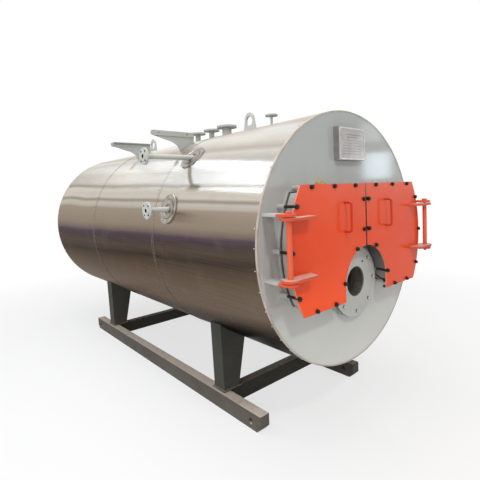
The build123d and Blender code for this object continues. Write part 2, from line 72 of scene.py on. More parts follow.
def vector_sum(tree, operation, *values):
    """One sum on places or colours. A distance or a match of directions comes out as a number."""
    done = step(tree, "ShaderNodeVectorMath", dict(enumerate(values)), operation=operation)
    return done.outputs["Value" if operation in ("DISTANCE", "DOT_PRODUCT") else "Vector"]


def axes(tree, vector):
    """The X, Y and Z of a place or a direction."""
    return step(tree, "ShaderNodeSeparateXYZ", {0: vector}).outputs


def new_coat(name):
    """A new material, its tree and its place on the boiler."""
    coat = bpy.data.materials.new(name)
    coat.use_nodes = True
    tree = coat.node_tree
    return coat, tree, step(tree, "ShaderNodeTexCoord").outputs["Object"]


def send(tree, tone, roughness, normal, metal=0.0):
    """Sends a tone, a roughness and a bumped normal to the shader, and sets its share of metal."""
    shader = tree.nodes["Principled BSDF"]
    tree.links.new(tone, shader.inputs["Base Color"])
    tree.links.new(roughness, shader.inputs["Roughness"])
    tree.links.new(normal, shader.inputs["Normal"])
    shader.inputs["Metallic"].default_value = metal
    return shader


def opened(coat):
    """A finished coat's tree, its place, that place's X, Y and Z, and its paint so far."""
    tree = coat.node_tree
    place = step(tree, "ShaderNodeTexCoord").outputs["Object"]
    paint = tree.nodes["Principled BSDF"].inputs["Base Color"].links[0].from_socket
    return tree, place, axes(tree, place), paint


def repaint(tree, tone):
    """Sends a new tone to a finished coat's shader."""
    tree.links.new(tone, tree.nodes["Principled BSDF"].inputs["Base Color"])


def mottle(tree, place, scale, detail=3.0, stretch=None):
    """Cloudy unevenness, 0 to 1, so many clouds to a metre, drawn out where stretch says."""
    if stretch:
        place = step(tree, "ShaderNodeMapping", {"Vector": place, "Scale": stretch}).outputs[0]
    return step(tree, "ShaderNodeTexNoise", {"Vector": place, "Scale": scale, "Detail": detail}).outputs[0]


def between(tree, value, low, high, to_low=0.0, to_high=1.0):
    """Spreads the part of a value from low to high over a new span."""
    feeds = {"Value": value, "From Min": low, "From Max": high, "To Min": to_low, "To Max": to_high}
    return step(tree, "ShaderNodeMapRange", feeds).outputs[0]


def over(tree, share, under, top):
    """Lays one colour over another by a share."""
    return step(tree, "ShaderNodeMix", {0: share, 6: under, 7: top}, data_type="RGBA").outputs[2]


def dented(tree, height, depth, strength=1.0, normal=None):
    """Turns a height of 0 to 1 into bumps so deep in metres."""
    feeds = {"Height": height, "Distance": depth, "Strength": strength}
    if normal:
        feeds["Normal"] = normal
    return step(tree, "ShaderNodeBump", feeds).outputs[0]


def worn_edge(tree, width=0.004):
    """Where an edge lies within a width, 0 to 1, and the normal that rounds it."""
    rounded = step(tree, "ShaderNodeBevel", {"Radius": width}, samples=4).outputs[0]
    straight = step(tree, "ShaderNodeNewGeometry").outputs["Normal"]
    return between(tree, vector_sum(tree, "DOT_PRODUCT", rounded, straight), 0.985, 0.86), rounded


def lying_dust(tree, place, amount):
    """Dust on the faces that look up, broken into clouds."""
    up = axes(tree, step(tree, "ShaderNodeNewGeometry").outputs["Normal"])["Z"]
    settled = between(tree, mottle(tree, place, 26, 5), 0.25, 0.62, 0.45, 1.0)
    return times(tree, times(tree, between(tree, up, 0.45, 0.98), settled), amount)


def painted_steel(name, fresh, faded, dust, edge, dust_amount=0.5, edge_amount=0.5, shine=(0.4, 0.55),
                  glint=0.5, peel_depth=0.0004):
    """Brushed or sprayed paint on steel, with its clouds, dust, worn edges and faint orange peel."""
    coat, tree, place = new_coat(name)
    grain = mottle(tree, place, 60, 3)
    tone = over(tree, between(tree, mottle(tree, place, 2.2, 5), 0.36, 0.66), fresh, faded)
    tone = over(tree, between(tree, grain, 0.35, 0.75, 0.0, 0.3), tone, faded)
    ridge, rounded = worn_edge(tree)
    rubbed = times(tree, ridge, between(tree, mottle(tree, place, 34, 4), 0.4, 0.6))
    tone = over(tree, times(tree, rubbed, edge_amount), tone, edge)
    tone = over(tree, lying_dust(tree, place, dust_amount), tone, dust)
    peel = dented(tree, mottle(tree, place, 260, 2), peel_depth, 0.35, rounded)
    shader = send(tree, tone, between(tree, grain, 0.3, 0.7, *shine), peel)
    shader.inputs["Specular IOR Level"].default_value = glint
    return coat


def coat_node(coat, *names):
    """Gives CAD nodes one finish on all their faces."""
    for name in names:
        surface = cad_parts[name].data
        surface.materials.clear()
        surface.materials.append(coat)


splash_top_z = 0.20
splash_full_z = 0.02


def skid_finish(name, fresh, faded, dust, dust_amount, splash_amount):
    """The skid's paint, with floor dust that thins out upwards."""
    coat = painted_steel(name, fresh, faded, dust, chart(120, 118, 108), dust_amount, 0.5, (0.5, 0.7), 0.18)
    tree, place, parts, paint = opened(coat)
    clouds = between(tree, mottle(tree, place, 9, 6), 0.3, 0.66, 0.45 * splash_amount, splash_amount)
    splash = times(tree, between(tree, parts["Z"], splash_top_z, splash_full_z), clouds)
    repaint(tree, over(tree, splash, paint, chart(146, 136, 123)))
    return coat


skid_paint = skid_finish("skid_paint", chart(82, 79, 73), chart(70, 68, 62), chart(214, 198, 182), 1.35, 0.26)
beam_paint = skid_finish("beam_paint", chart(39, 40, 35), chart(31, 32, 27), chart(136, 123, 108), 0.75, 0.08)
# The right rail's paint is darker than the left rail's: painted shade.
shaded_paint = skid_finish("shaded_paint", chart(62, 61, 55), chart(52, 51, 46), chart(140, 128, 114),
                           0.9, 0.2)
coat_node(skid_paint, "skid_rail_left")
coat_node(shaded_paint, "skid_rail_right")
coat_node(beam_paint, "skid_cross_beam_front", "skid_cross_beam_rear")


def new_maker(name, *sizes):
    """A geometry tree with one input for each named size."""
    tree = bpy.data.node_groups.new(name, "GeometryNodeTree")
    tree.interface.new_socket("Geometry", in_out="INPUT", socket_type="NodeSocketGeometry")
    for size in sizes:
        tree.interface.new_socket(size, in_out="INPUT", socket_type="NodeSocketFloat")
    tree.interface.new_socket("Finish", in_out="INPUT", socket_type="NodeSocketMaterial")
    tree.interface.new_socket("Geometry", in_out="OUTPUT", socket_type="NodeSocketGeometry")
    return tree, step(tree, "NodeGroupInput").outputs


def close_maker(tree, given, shape, smooth=True):
    """Ends a tree: copies made real, shaded and given their finish."""
    real = step(tree, "GeometryNodeRealizeInstances", {0: shape}).outputs[0]
    shaded = step(tree, "GeometryNodeSetShadeSmooth", {0: real, "Shade Smooth": smooth}).outputs[0]
    coated = step(tree, "GeometryNodeSetMaterial", {0: shaded, "Material": given["Finish"]}).outputs[0]
    tree.links.new(coated, step(tree, "NodeGroupOutput").inputs[0])


def add_piece(name, mesh, body):
    """Puts a finished mesh on the boiler: it rides on a body."""
    made = bpy.data.objects.new(name, mesh)
    bpy.context.scene.collection.objects.link(made)
    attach(made, body)
    return made


def tidy_mesh(mesh):
    """Merges doubles and turns all faces outwards."""
    shell = bmesh.new()
    shell.from_mesh(mesh)
    bmesh.ops.remove_doubles(shell, verts=shell.verts, dist=1e-5)
    bmesh.ops.recalc_face_normals(shell, faces=shell.faces)
    shell.to_mesh(mesh)
    shell.free()


def made_by(maker, name, start, body, slot, **sizes):
    """Runs a tree on its starting points or path and keeps the result as a plain mesh."""
    source = bpy.data.objects.new(name + "_start", start)
    bpy.context.scene.collection.objects.link(source)
    work = source.modifiers.new("maker", "NODES")
    work.node_group = maker
    for item in maker.interface.items_tree:
        key = item.name.lower().replace(" ", "_")
        if item.item_type == "SOCKET" and item.in_out == "INPUT" and key in sizes:
            work[item.identifier] = sizes[key]
    seen = source.evaluated_get(bpy.context.evaluated_depsgraph_get())
    mesh = bpy.data.meshes.new_from_object(seen)
    mesh.name = name
    source.modifiers.remove(work)
    bpy.data.objects.remove(source)
    tidy_mesh(mesh)
    return add_piece(name, mesh, body)


def path_of(name, runs, closed):
    """A curve of straight runs through points, for a bead, rope or rod to follow."""
    route = bpy.data.curves.new(name, "CURVE")
    route.dimensions = "3D"
    for run in runs:
        line = route.splines.new("POLY")
        line.points.add(len(run) - 1)
        line.use_cyclic_u = closed
        for point, spot in zip(line.points, run):
            point.co = (*spot, 1.0)
    return route


def evened(tree, line, spacing):
    """A line with a point at each spacing, and 0 or 1 at each point by turns."""
    feeds = {"Curve": line, "Length": spacing}
    points = step(tree, "GeometryNodeResampleCurve", feeds, mode="LENGTH").outputs[0]
    return points, sum_of(tree, "MODULO", step(tree, "GeometryNodeInputIndex").outputs[0], 2.0)


def round_sweep(tree, line, swell, radius, sides):
    """A round rod along a line, swelling as its points say."""
    sized = step(tree, "GeometryNodeSetCurveRadius", {"Curve": line, "Radius": swell}).outputs[0]
    rim = step(tree, "GeometryNodeCurvePrimitiveCircle", {"Resolution": sides, "Radius": radius}).outputs[0]
    rod = step(tree, "GeometryNodeCurveToMesh", {"Curve": sized, "Profile Curve": rim, "Fill Caps": True})
    if "Scale" in rod.inputs:
        tree.links.new(swell, rod.inputs["Scale"])
    return rod.outputs[0]


bead_maker, given = new_maker("bead", "Bead Radius", "Ripple Length", "Ripple Depth")
line, odd = evened(bead_maker, given["Geometry"], given["Ripple Length"])
swell = sum_of(bead_maker, "SUBTRACT", 1.0, times(bead_maker, odd, given["Ripple Depth"]))
close_maker(bead_maker, given, round_sweep(bead_maker, line, swell, given["Bead Radius"], 10))


def bead(name, runs, body, slot, closed=False, **sizes):
    """A weld, seal, rope or rod that follows its runs."""
    return made_by(bead_maker, name, path_of(name, runs, closed), body, slot, **sizes)


rail_inner_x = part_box("skid_rail_right")[0].x
weld_start_z = 0.004
weld_short = 0.006
beam_ys = []
beam_runs = []
for beam in ("skid_cross_beam_front", "skid_cross_beam_rear"):
    low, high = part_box(beam)
    beam_ys.append((low.y + high.y) / 2)
    for side in (-1, 1):
        for edge_y in (low.y, high.y):
            start = Vector((side * rail_inner_x, edge_y, weld_start_z))
            beam_runs.append([start, start + Vector((0, 0, high.z - weld_short))])
bead("beam_welds", beam_runs, "boiler", "skid_grey",
     bead_radius=0.005, ripple_length=0.0035, ripple_depth=0.18, finish=beam_paint)


# The legs: four tapered boxes of folded plate on thin foot pads, welded to the rails below them.
# The same grey-green paint, duller in the shade, with a thick welded joint round each foot.
leg_paint = skid_finish("leg_paint", chart(66, 65, 59), chart(54, 54, 48), chart(164, 155, 142), 0.95, 0.3)
coat_node(leg_paint, "leg_front_left", "leg_front_right", "leg_rear_left", "leg_rear_right")
foot_x = (0.376, 0.511)
foot_y = (-0.038, 0.081)
foot_z = 0.119
foot_corners = ((foot_x[0], foot_y[0]), (foot_x[1], foot_y[0]),
                (foot_x[1], foot_y[1]), (foot_x[0], foot_y[1]))
foot_runs = [[Vector((side * x, along + y, foot_z)) for x, y in foot_corners]
             for along in beam_ys for side in (-1, 1)]
bead("foot_welds", foot_runs, "boiler", "skid_grey", True,
     bead_radius=0.0045, ripple_length=0.004, ripple_depth=0.2, finish=leg_paint)


# The pressure vessel inside: shell, end, furnace tube and tube plate of rolled boiler plate.
# Bare steel with mill scale, soot and thin rust, with the tubes rolled and welded into the plate.
def cloudy(name, clouds, tones, shine, bump, bump_depth, bump_strength, metal=0.0):
    """A finish in clouds of two tones, with its roughness, a fine bump and a share of metal."""
    coat, tree, place = new_coat(name)
    cloud = mottle(tree, place, *clouds)
    tone = over(tree, between(tree, cloud, 0.35, 0.65), *tones)
    bumped = dented(tree, mottle(tree, place, *bump), bump_depth, bump_strength)
    send(tree, tone, between(tree, cloud, 0.3, 0.7, *shine), bumped, metal)
    return coat


def stained(coat, clouds, low, high, amount, stain):
    """Stains laid over a finish where its clouds pass from low to high."""
    tree, place, parts, paint = opened(coat)
    share = between(tree, mottle(tree, place, *clouds), low, high, 0.0, amount)
    repaint(tree, over(tree, share, paint, stain))
    return coat


boiler_plate = cloudy("boiler_plate", (5, 6), (chart(78, 76, 74), chart(112, 106, 100)), (0.5, 0.8),
                      (90, 4), 0.0008, 0.5, 0.35)
stained(boiler_plate, (12, 8), 0.52, 0.68, 0.75, chart(112, 74, 50))
coat_node(boiler_plate, "vessel_shell", "vessel_rear_end", "furnace_tube", "front_tube_plate")


def spots_mesh(name, spots, facings):
    """A mesh of bare points, each with the way that its piece faces."""
    mesh = bpy.data.meshes.new(name)
    mesh.from_pydata([tuple(spot) for spot in spots], [], [])
    facing = mesh.attributes.new("facing", "FLOAT_VECTOR", "POINT")
    for number in range(len(spots)):
        facing.data[number].vector = facings[number] if facings else (0.0, -1.0, 0.0)
    return mesh


def on_spots(maker, name, spots, body, slot, facings=None, **sizes):
    """Runs a tree on spots. Its pieces face forward unless facings say otherwise."""
    return made_by(maker, name, spots_mesh(name, spots, facings), body, slot, **sizes)


def stand_on_spots(tree, given, shape, spin_seed=None):
    """Stands a shape that is made along Z on each point, turned the way the point faces."""
    facing = step(tree, "GeometryNodeInputNamedAttribute", {"Name": "facing"}, data_type="FLOAT_VECTOR")
    turn = step(tree, "FunctionNodeAlignRotationToVector", {"Vector": facing.outputs[0]}, axis="Z").outputs[0]
    if spin_seed is not None:
        span = {2: 0.0, 3: 6.28, "Seed": spin_seed}
        spin = step(tree, "FunctionNodeRandomValue", span, data_type="FLOAT").outputs[1]
        own = step(tree, "FunctionNodeAxisAngleToRotation", {"Axis": (0.0, 0.0, 1.0), "Angle": spin})
        feeds = {0: turn, 1: own.outputs[0]}
        turn = step(tree, "FunctionNodeRotateRotation", feeds, rotation_space="LOCAL").outputs[0]
    return step(tree, "GeometryNodeInstanceOnPoints",
                {"Points": given["Geometry"], "Instance": shape, "Rotation": turn}).outputs[0]


drum_low, drum_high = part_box("cladding_front")
drum_radius = drum_high.x
axis_z = drum_high.z - drum_radius
front_y = drum_low.y
tube_plate_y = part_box("front_tube_plate")[0].y
tube_proud = 0.006
tube_pitch = 0.092
bank_rows = 6
bank_start = 0.065
bank_radius = 0.594
arch_low = -0.262
arch_clear = 0.321
tube_maker, given = new_maker("tube_ends", "Tube Radius", "Wall", "Proud")
hoop = step(tube_maker, "GeometryNodeCurvePrimitiveCircle",
            {"Resolution": 18, "Radius": given["Tube Radius"]}).outputs[0]
section = step(tube_maker, "GeometryNodeCurvePrimitiveQuadrilateral",
               {"Width": given["Wall"], "Height": given["Proud"]}).outputs[0]
ring = step(tube_maker, "GeometryNodeCurveToMesh", {"Curve": hoop, "Profile Curve": section}).outputs[0]
close_maker(tube_maker, given, stand_on_spots(tube_maker, given, ring), False)
tube_spots = []
for side in (-1, 1):
    for column in range(bank_rows):
        for row in range(bank_rows):
            across = bank_start + tube_pitch * (column + 0.5)
            up = tube_pitch * (row - (bank_rows - 1) / 2)
            if math.hypot(across, up) < bank_radius and math.hypot(across, up - arch_low) > arch_clear:
                tube_spots.append((side * across, tube_plate_y, axis_z + up))
on_spots(tube_maker, "tube_ends", tube_spots, "boiler", "boiler_steel",
         tube_radius=0.0255, wall=0.0035, proud=2 * tube_proud, finish=boiler_plate)


# The cladding: three courses of thin stainless sheet rolled round the insulation, lapped at the seams.
# Bright sheet, brushed round the drum and slightly wavy; its colour holds painted reflection, pale in bands
# above and brown to dark below, and painted highlights.
rear_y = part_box("cladding_rear")[1].y
seam_y = (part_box("cladding_middle")[0].y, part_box("cladding_rear")[0].y)
# Painted reflection: by the angle round the drum, pale bands where the sheet mirrors a bright room and brown
# to dark below where it mirrors the floor.
reflection_band_chart = (
    (-90, 16, 14, 12), (-60, 24, 21, 18), (-44, 42, 38, 32), (-37, 82, 71, 62), (-30, 116, 101, 88),
    (-20, 112, 96, 82), (-12, 96, 80, 66), (-8, 80, 67, 56), (-6, 66, 54, 46), (-2, 86, 72, 62),
    (2, 80, 66, 68), (4, 88, 74, 88), (5, 120, 104, 98), (8, 150, 136, 120), (15.5, 166, 152, 136),
    (16.5, 194, 185, 172), (18.5, 204, 196, 184), (19.5, 146, 135, 120), (21, 214, 206, 193),
    (25, 206, 198, 186), (26.8, 140, 131, 119), (28.5, 172, 165, 154), (34, 170, 163, 152),
    (42, 212, 206, 197), (45, 228, 224, 218), (47.5, 204, 196, 185), (52, 230, 225, 215),
    (58, 243, 240, 233), (62, 228, 222, 212), (68, 208, 199, 186), (75, 213, 204, 190), (90, 208, 199, 186))
band_spread = 0.2
band_width_at_front = 0.92
band_middle = 12.0
# Painted glints: lighter patches, each by its span of angle, its span back along the drum and its lift.
painted_glints = ((62, 67, 0.05, 0.35, (1.12, 1.15, 1.28, 1.0)), (51, 56, 0.30, 0.60, (1.09, 1.09, 1.09, 1.0)))
white = (1.0, 1.0, 1.0, 1.0)
stainless_sheet, tree, place = new_coat("stainless_sheet")
wave = mottle(tree, place, 1.3, 2, (1.0, 0.55, 1.0))
grain = mottle(tree, place, 130, 3, (1.0, 0.012, 1.0))
parts = axes(tree, place)
above = sum_of(tree, "SUBTRACT", parts["Z"], axis_z)
turned = sum_of(tree, "ARCTAN2", above, sum_of(tree, "ABSOLUTE", parts["X"]))
back = sum_of(tree, "SUBTRACT", parts["Y"], front_y)
widen = sum_of(tree, "MULTIPLY_ADD", back, band_spread, band_width_at_front)
off_middle = sum_of(tree, "SUBTRACT", turned, math.radians(band_middle))
narrowed = sum_of(tree, "DIVIDE", off_middle, widen)
bent = sum_of(tree, "ADD", narrowed, between(tree, wave, 0.3, 0.7, -0.012, 0.012))
degrees = sum_of(tree, "MULTIPLY_ADD", bent, 180 / math.pi, band_middle)
reflection_ramp = step(tree, "ShaderNodeValToRGB", {0: between(tree, degrees, -90.0, 90.0)})
stops = reflection_ramp.color_ramp.elements
while len(stops) < len(reflection_band_chart):
    stops.new(0.5)
for stop, band in zip(stops, reflection_band_chart):
    stop.position = (band[0] + 90) / 180
for stop, band in zip(stops, reflection_band_chart):
    stop.color = chart(*band[1:])
# Painted highlights: the band from 23 to 41 degrees is lighter some way back along the drum, and the crown is
# lighter at the front and darker further back.
highlight_zone = times(tree, between(tree, degrees, 23.0, 30.0), between(tree, degrees, 41.0, 36.0))
highlight_along_drum = times(tree, between(tree, back, 0.85, 1.8), between(tree, back, 4.4, 1.9, 0.3, 1.0))
painted_highlight = over(tree, times(tree, highlight_zone, highlight_along_drum), white, (1.42, 1.42, 1.40, 1.0))
crown = over(tree, between(tree, back, 0.3, 1.3), (1.10, 1.10, 1.10, 1.0), (0.84, 0.84, 0.84, 1.0))
reflection_lift = vector_sum(tree, "MULTIPLY", painted_highlight, over(tree, between(tree, degrees, 57.0, 63.0), white, crown))
for low, high, near, far, lift in painted_glints:
    share = between(tree, degrees, low - 3.0, low + 1.5)
    share = times(tree, share, between(tree, degrees, high + 3.0, high - 1.5))
    share = times(tree, share, between(tree, back, near - 0.1, near + 0.05))
    share = times(tree, share, between(tree, back, far + 0.15, far - 0.05))
    reflection_lift = vector_sum(tree, "MULTIPLY", reflection_lift, over(tree, share, white, lift))
painted_reflection = vector_sum(tree, "MULTIPLY", reflection_ramp.outputs[0], reflection_lift)
tone = over(tree, between(tree, grain, 0.35, 0.65, 0.0, 0.04), painted_reflection, chart(196, 190, 180))
smudges = between(tree, mottle(tree, place, 7, 6), 0.55, 0.72, 0.0, 0.08)
tone = over(tree, smudges, tone, chart(150, 140, 128))
wanted = vector_sum(tree, "MULTIPLY_ADD", tone, (0.776,) * 3, (0.224,) * 3)
glancing = vector_sum(tree, "MULTIPLY_ADD", tone, (0.527,) * 3, (0.473,) * 3)
rolled = dented(tree, grain, 0.00002, 0.4, dented(tree, wave, 0.010, 0.2))
shader = send(tree, tone, between(tree, grain, 0.3, 0.7, 0.25, 0.28), rolled, 1.0)
tree.links.new(vector_sum(tree, "DIVIDE", wanted, glancing), shader.inputs["Specular Tint"])
tree.links.new(step(tree, "ShaderNodeCombineXYZ", {"Y": 1.0}).outputs[0], shader.inputs["Tangent"])
shader.inputs["Anisotropic"].default_value = 1.0
coat_node(stainless_sheet, "cladding_front", "cladding_middle", "cladding_rear")


def add_ring(points, faces, outline, steps, seat, ahead, up, facing):
    """Adds a ring: an outline of radius and height, turned once round the way that its seat faces."""
    first = len(points)
    count = len(outline)
    for number in range(steps):
        turn = 2 * math.pi * number / steps
        spoke = ahead * math.cos(turn) + up * math.sin(turn)
        points.extend(seat + spoke * radius + facing * height for radius, height in outline)
        this = first + number * count
        following = first + (number + 1) % steps * count
        for corner in range(count):
            after = (corner + 1) % count
            faces.append((this + corner, this + after, following + after, following + corner))


def ring_piece(name, points, faces, finish):
    """Makes a piece of rings, smooth but for its sharp corners."""
    mesh = bpy.data.meshes.new(name)
    mesh.from_pydata(points, [], faces)
    mesh.polygons.foreach_set("use_smooth", [True] * len(mesh.polygons))
    mesh.materials.append(finish)
    tidy_mesh(mesh)
    mesh.set_sharp_from_angle(angle=math.radians(35))
    return add_piece(name, mesh, "boiler")


def drum_ring(name, outline, steps, finish):
    """A ring round the drum, from an outline of radius and place along Y."""
    points = []
    faces = []
    seat = Vector((0, 0, axis_z))
    add_ring(points, faces, outline, steps, seat, Vector((1, 0, 0)), Vector((0, 0, 1)), Vector((0, 1, 0)))
    return ring_piece(name, points, faces, finish)


# The seam lips are painted lighter than the sheet round them, a painted highlight along each lap's edge, and
# darker below the drum's middle, a painted reflection like the sheet's dark belly.
seam_edge, tree, place = new_coat("seam_edge")
clouds = mottle(tree, place, 30, 4)
height = axes(tree, place)["Z"]
lower = between(tree, height, axis_z + 0.20, axis_z + 0.02)
tone = over(tree, lower, chart(132, 125, 116), chart(138, 126, 112))
tone = over(tree, between(tree, height, axis_z - 0.12, axis_z - 0.40), tone, chart(86, 75, 64))
tone = over(tree, between(tree, clouds, 0.35, 0.65, 0.0, 0.25), tone, chart(150, 141, 130))
rubbed = dented(tree, mottle(tree, place, 200, 2), 0.00005, 0.4)
send(tree, tone, between(tree, clouds, 0.3, 0.7, 0.5, 0.65), rubbed, 0.2)
lap_width = 0.022
lap_lift = 0.0011
lap_slope = 0.004
lip_width = 0.0028
lip_side = 0.0014
lip_top = 0.0020
lip_before = 0.002
let_in = 0.001
sunk = drum_radius - let_in
for number, lap_y in enumerate(seam_y):
    near_y = lap_y - lap_width
    top = drum_radius + lap_lift
    lap = ((sunk, near_y), (drum_radius + lap_lift * 0.4, near_y), (top, near_y + lap_slope), (top, lap_y),
           (sunk, lap_y))
    drum_ring("seam_lap_%d" % number, lap, 160, stainless_sheet)
    for edge, edge_y in (("near", near_y - lip_before), ("far", lap_y - let_in)):
        side = drum_radius + lip_side
        lip = ((sunk, edge_y), (side, edge_y), (drum_radius + lip_top, edge_y + lip_width / 2),
               (side, edge_y + lip_width), (sunk, edge_y + lip_width))
        drum_ring("seam_%s_edge_%d" % (edge, number), lip, 300, seam_edge)


# The folded hems at both ends of the cladding and the self-tapping screws that hold the sheets.
# The hem is the sheet's own edge turned in over the plate; the screws are small bright domes.
bright_edge = cloudy("bright_edge", (14, 5), (chart(184, 173, 158), chart(164, 153, 139)), (0.4, 0.55),
                     (120, 3), 0.0003, 0.4, 0.3)
hem_shape = ((-0.0065, 0.001), (-0.0065, -0.0020), (-0.0015, -0.0026), (0.0004, -0.0018), (0.0012, 0.0005),
             (0.0012, 0.010), (-0.0010, 0.010))
for name, plate_y, inward in (("front_hem", front_y, 1), ("rear_hem", rear_y, -1)):
    hem = [(drum_radius + out, plate_y + along * inward) for out, along in hem_shape]
    drum_ring(name, hem, 200, bright_edge)
screw_maker, given = new_maker("domed_heads", "Head Radius", "Head Height")
ball = step(screw_maker, "GeometryNodeMeshUVSphere",
            {"Segments": 10, "Rings": 6, "Radius": given["Head Radius"]}).outputs[0]
squat = sum_of(screw_maker, "DIVIDE", given["Head Height"], given["Head Radius"])
flat = step(screw_maker, "ShaderNodeCombineXYZ", {0: 1.0, 1: 1.0, 2: squat}).outputs[0]
dome = step(screw_maker, "GeometryNodeTransform", {"Geometry": ball, "Scale": flat}).outputs[0]
close_maker(screw_maker, given, stand_on_spots(screw_maker, given, dome))
screw_pick = random.Random(7)
screw_edge = 0.019
screw_spacing = 8
screw_stray_turn = 0.6
screw_stray = 0.003
screw_seat = drum_radius + 0.0006
screw_spots = []
screw_facings = []
for row_y in (front_y + screw_edge, rear_y - screw_edge):
    for angle in range(2, 360, screw_spacing):
        turn = math.radians(angle + screw_pick.uniform(-screw_stray_turn, screw_stray_turn))
        facing = Vector((math.cos(turn), 0.0, math.sin(turn)))
        middle = Vector((0, row_y + screw_pick.uniform(-screw_stray, screw_stray), axis_z))
        screw_spots.append(middle + facing * screw_seat)
        screw_facings.append(facing)
screw_zinc = cloudy("screw_zinc", (80, 4), (chart(226, 224, 218), chart(182, 178, 168)), (0.25, 0.4),
                    (600, 2), 0.0002, 0.4, 0.8)
on_spots(screw_maker, "cladding_screws", screw_spots, "boiler", "stainless", screw_facings,
         head_radius=0.0042, head_height=0.0020, finish=screw_zinc)


# The front and rear plates: round steel plates let into the ends of the drum and sprayed light grey.
# The grey has a soft shine, and dust has run down it in faint streaks. It is painted lighter low down, as
# painted light from the floor, and darker high up, as painted shade.
def streaked(coat, shade, amount):
    """Faint streaks that have run down a standing face."""
    return stained(coat, (16, 5, (1.0, 1.0, 0.07)), 0.5, 0.72, amount, shade)


grey_dust = chart(184, 178, 166)
grey_edge = chart(206, 205, 200)
plate_grey = painted_steel("plate_grey", chart(172, 175, 172), chart(164, 167, 164), grey_dust, grey_edge,
                           0.5, 0.4, (0.09, 0.13), 0.5, 0.00002)
# Painted light from the floor, lighter towards the bottom in soft clouds, and painted shade, darker towards
# the top.
floor_light_below_z = (1.15, 0.45)
top_shade_above_z = (1.58, 1.82)
tree, place, parts, paint = opened(streaked(plate_grey, chart(150, 149, 144), 0.16))
cloud = between(tree, mottle(tree, place, 3, 2), 0.3, 0.7, 0.85, 1.0)
floor_light = times(tree, between(tree, parts["Z"], *floor_light_below_z), cloud)
top_shade = between(tree, parts["Z"], *top_shade_above_z, 0.0, 0.8)
repaint(tree, over(tree, top_shade, over(tree, floor_light, paint, chart(204, 204, 198)), chart(156, 159, 156)))
coat_node(plate_grey, "front_plate", "rear_plate")


# The smoke box: a butterfly-shaped box of welded plate round the burner, light grey like the front plate,
# painted dark inside the arch as painted shade.
# A collar strip closes the joint to the front plate, with grey rope packed along it outside the arch.
box_low, box_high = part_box("smoke_box")
smoke_radius = box_high.x
smoke_half_height = (box_high.z - box_low.z) / 2
arch_radius = 0.275
arch_z = axis_z + arch_low
box_grey = painted_steel("box_grey", chart(172, 173, 168), chart(156, 157, 152), grey_dust, grey_edge, 0.6)
tree, place, parts, paint = opened(box_grey)
# Inside the arch the grey is painted dark, more towards the top: painted shade in the recess.
on_arch = step(tree, "ShaderNodeCombineXYZ", {"X": parts["X"], "Z": parts["Z"]}).outputs[0]
from_burner = vector_sum(tree, "DISTANCE", on_arch, (0.0, 0.0, arch_z))
in_arch = between(tree, from_burner, arch_radius + 0.015, arch_radius + 0.005)
arch_painted_shade = times(tree, in_arch, between(tree, parts["Z"], arch_z - 0.06, arch_z + 0.16, 0.35, 0.92))
repaint(tree, over(tree, arch_painted_shade, paint, chart(84, 82, 76)))
coat_node(box_grey, "smoke_box")
rim_steps = 40
straight_steps = 10
arch_steps = 24


def smoke_box_outline(outset):
    """The outline of the smoke box in X and Z, grown by an outset, once round."""
    radius = smoke_radius + outset
    half = smoke_half_height + outset
    inner = arch_radius - outset
    corner = math.asin(half / radius)
    corner_x = radius * math.cos(corner)
    half_round = []
    for number in range(rim_steps + 1):
        turn = corner - 2 * corner * number / rim_steps
        half_round.append((radius * math.cos(turn), radius * math.sin(turn)))
    for number in range(1, straight_steps + 1):
        half_round.append((inner + (corner_x - inner) * (1 - number / straight_steps), -half))
    for number in range(arch_steps + 1):
        turn = math.pi / 2 * number / arch_steps
        half_round.append((inner * math.cos(turn), arch_low + inner * math.sin(turn)))
    return half_round + [(-x, z) for x, z in reversed(half_round[:-1])]


def collar_strip(name, inner, outer, near_y, far_y, body, finish):
    """A closed strip between two outlines, from one depth to another."""
    mesh = bpy.data.meshes.new(name)
    count = len(inner)
    loops = ((inner, near_y), (outer, near_y), (outer, far_y), (inner, far_y))
    points = [(x, y, axis_z + z) for outline, y in loops for x, z in outline]
    faces = []
    for level in range(4):
        this = level * count
        upper = (level + 1) % 4 * count
        for number in range(count):
            after = (number + 1) % count
            faces.append((this + number, this + after, upper + after, upper + number))
    mesh.from_pydata(points, [], faces)
    mesh.materials.append(finish)
    tidy_mesh(mesh)
    return add_piece(name, mesh, body)


collar_width = 0.010
collar_depth = 0.016
collar_strip("smoke_box_collar", smoke_box_outline(-let_in), smoke_box_outline(collar_width),
             front_y - collar_depth, front_y + let_in, "boiler", box_grey)
box_rope = cloudy("box_rope", (70, 5), (chart(66, 64, 58), chart(92, 89, 82)), (0.75, 0.95),
                  (420, 3), 0.0008, 0.6)
rope_y = front_y - 0.0215
rope_outset = 0.004
rope_half = rim_steps + straight_steps + 1
rope_round = smoke_box_outline(rope_outset)
rope_line = [Vector((x, rope_y, axis_z + z)) for x, z in rope_round[-rope_half:] + rope_round[:rope_half]]
bead("collar_rope", [rope_line], "boiler", "refractory",
     bead_radius=0.0045, ripple_length=0.005, ripple_depth=0.12, finish=box_rope)


# The burner opening: a round flange on the front plate, held by eight flat-headed bolts, and a cast throat.
# Flange and bolt heads are painted grey, with painted shade and some grime on their sides; the throat behind
# is dark sooted refractory.
def forward(tree):
    """How far a face looks ahead or back, 0 to 1."""
    facing = step(tree, "ShaderNodeNewGeometry").outputs["True Normal"]
    return sum_of(tree, "ABSOLUTE", axes(tree, facing)["Y"])


def shaded_grimy_sides(coat, unshaded_y, shaded_y, shade_and_grime):
    """Painted shade, with some grime, on the sides of a piece that faces forward, darker from one depth to
    another.
    """
    tree, place, parts, paint = opened(coat)
    aside = between(tree, forward(tree), 0.6, 0.4)
    side_shade = times(tree, aside, between(tree, parts["Y"], unshaded_y, shaded_y, 0.0, 0.9))
    repaint(tree, over(tree, side_shade, paint, shade_and_grime))


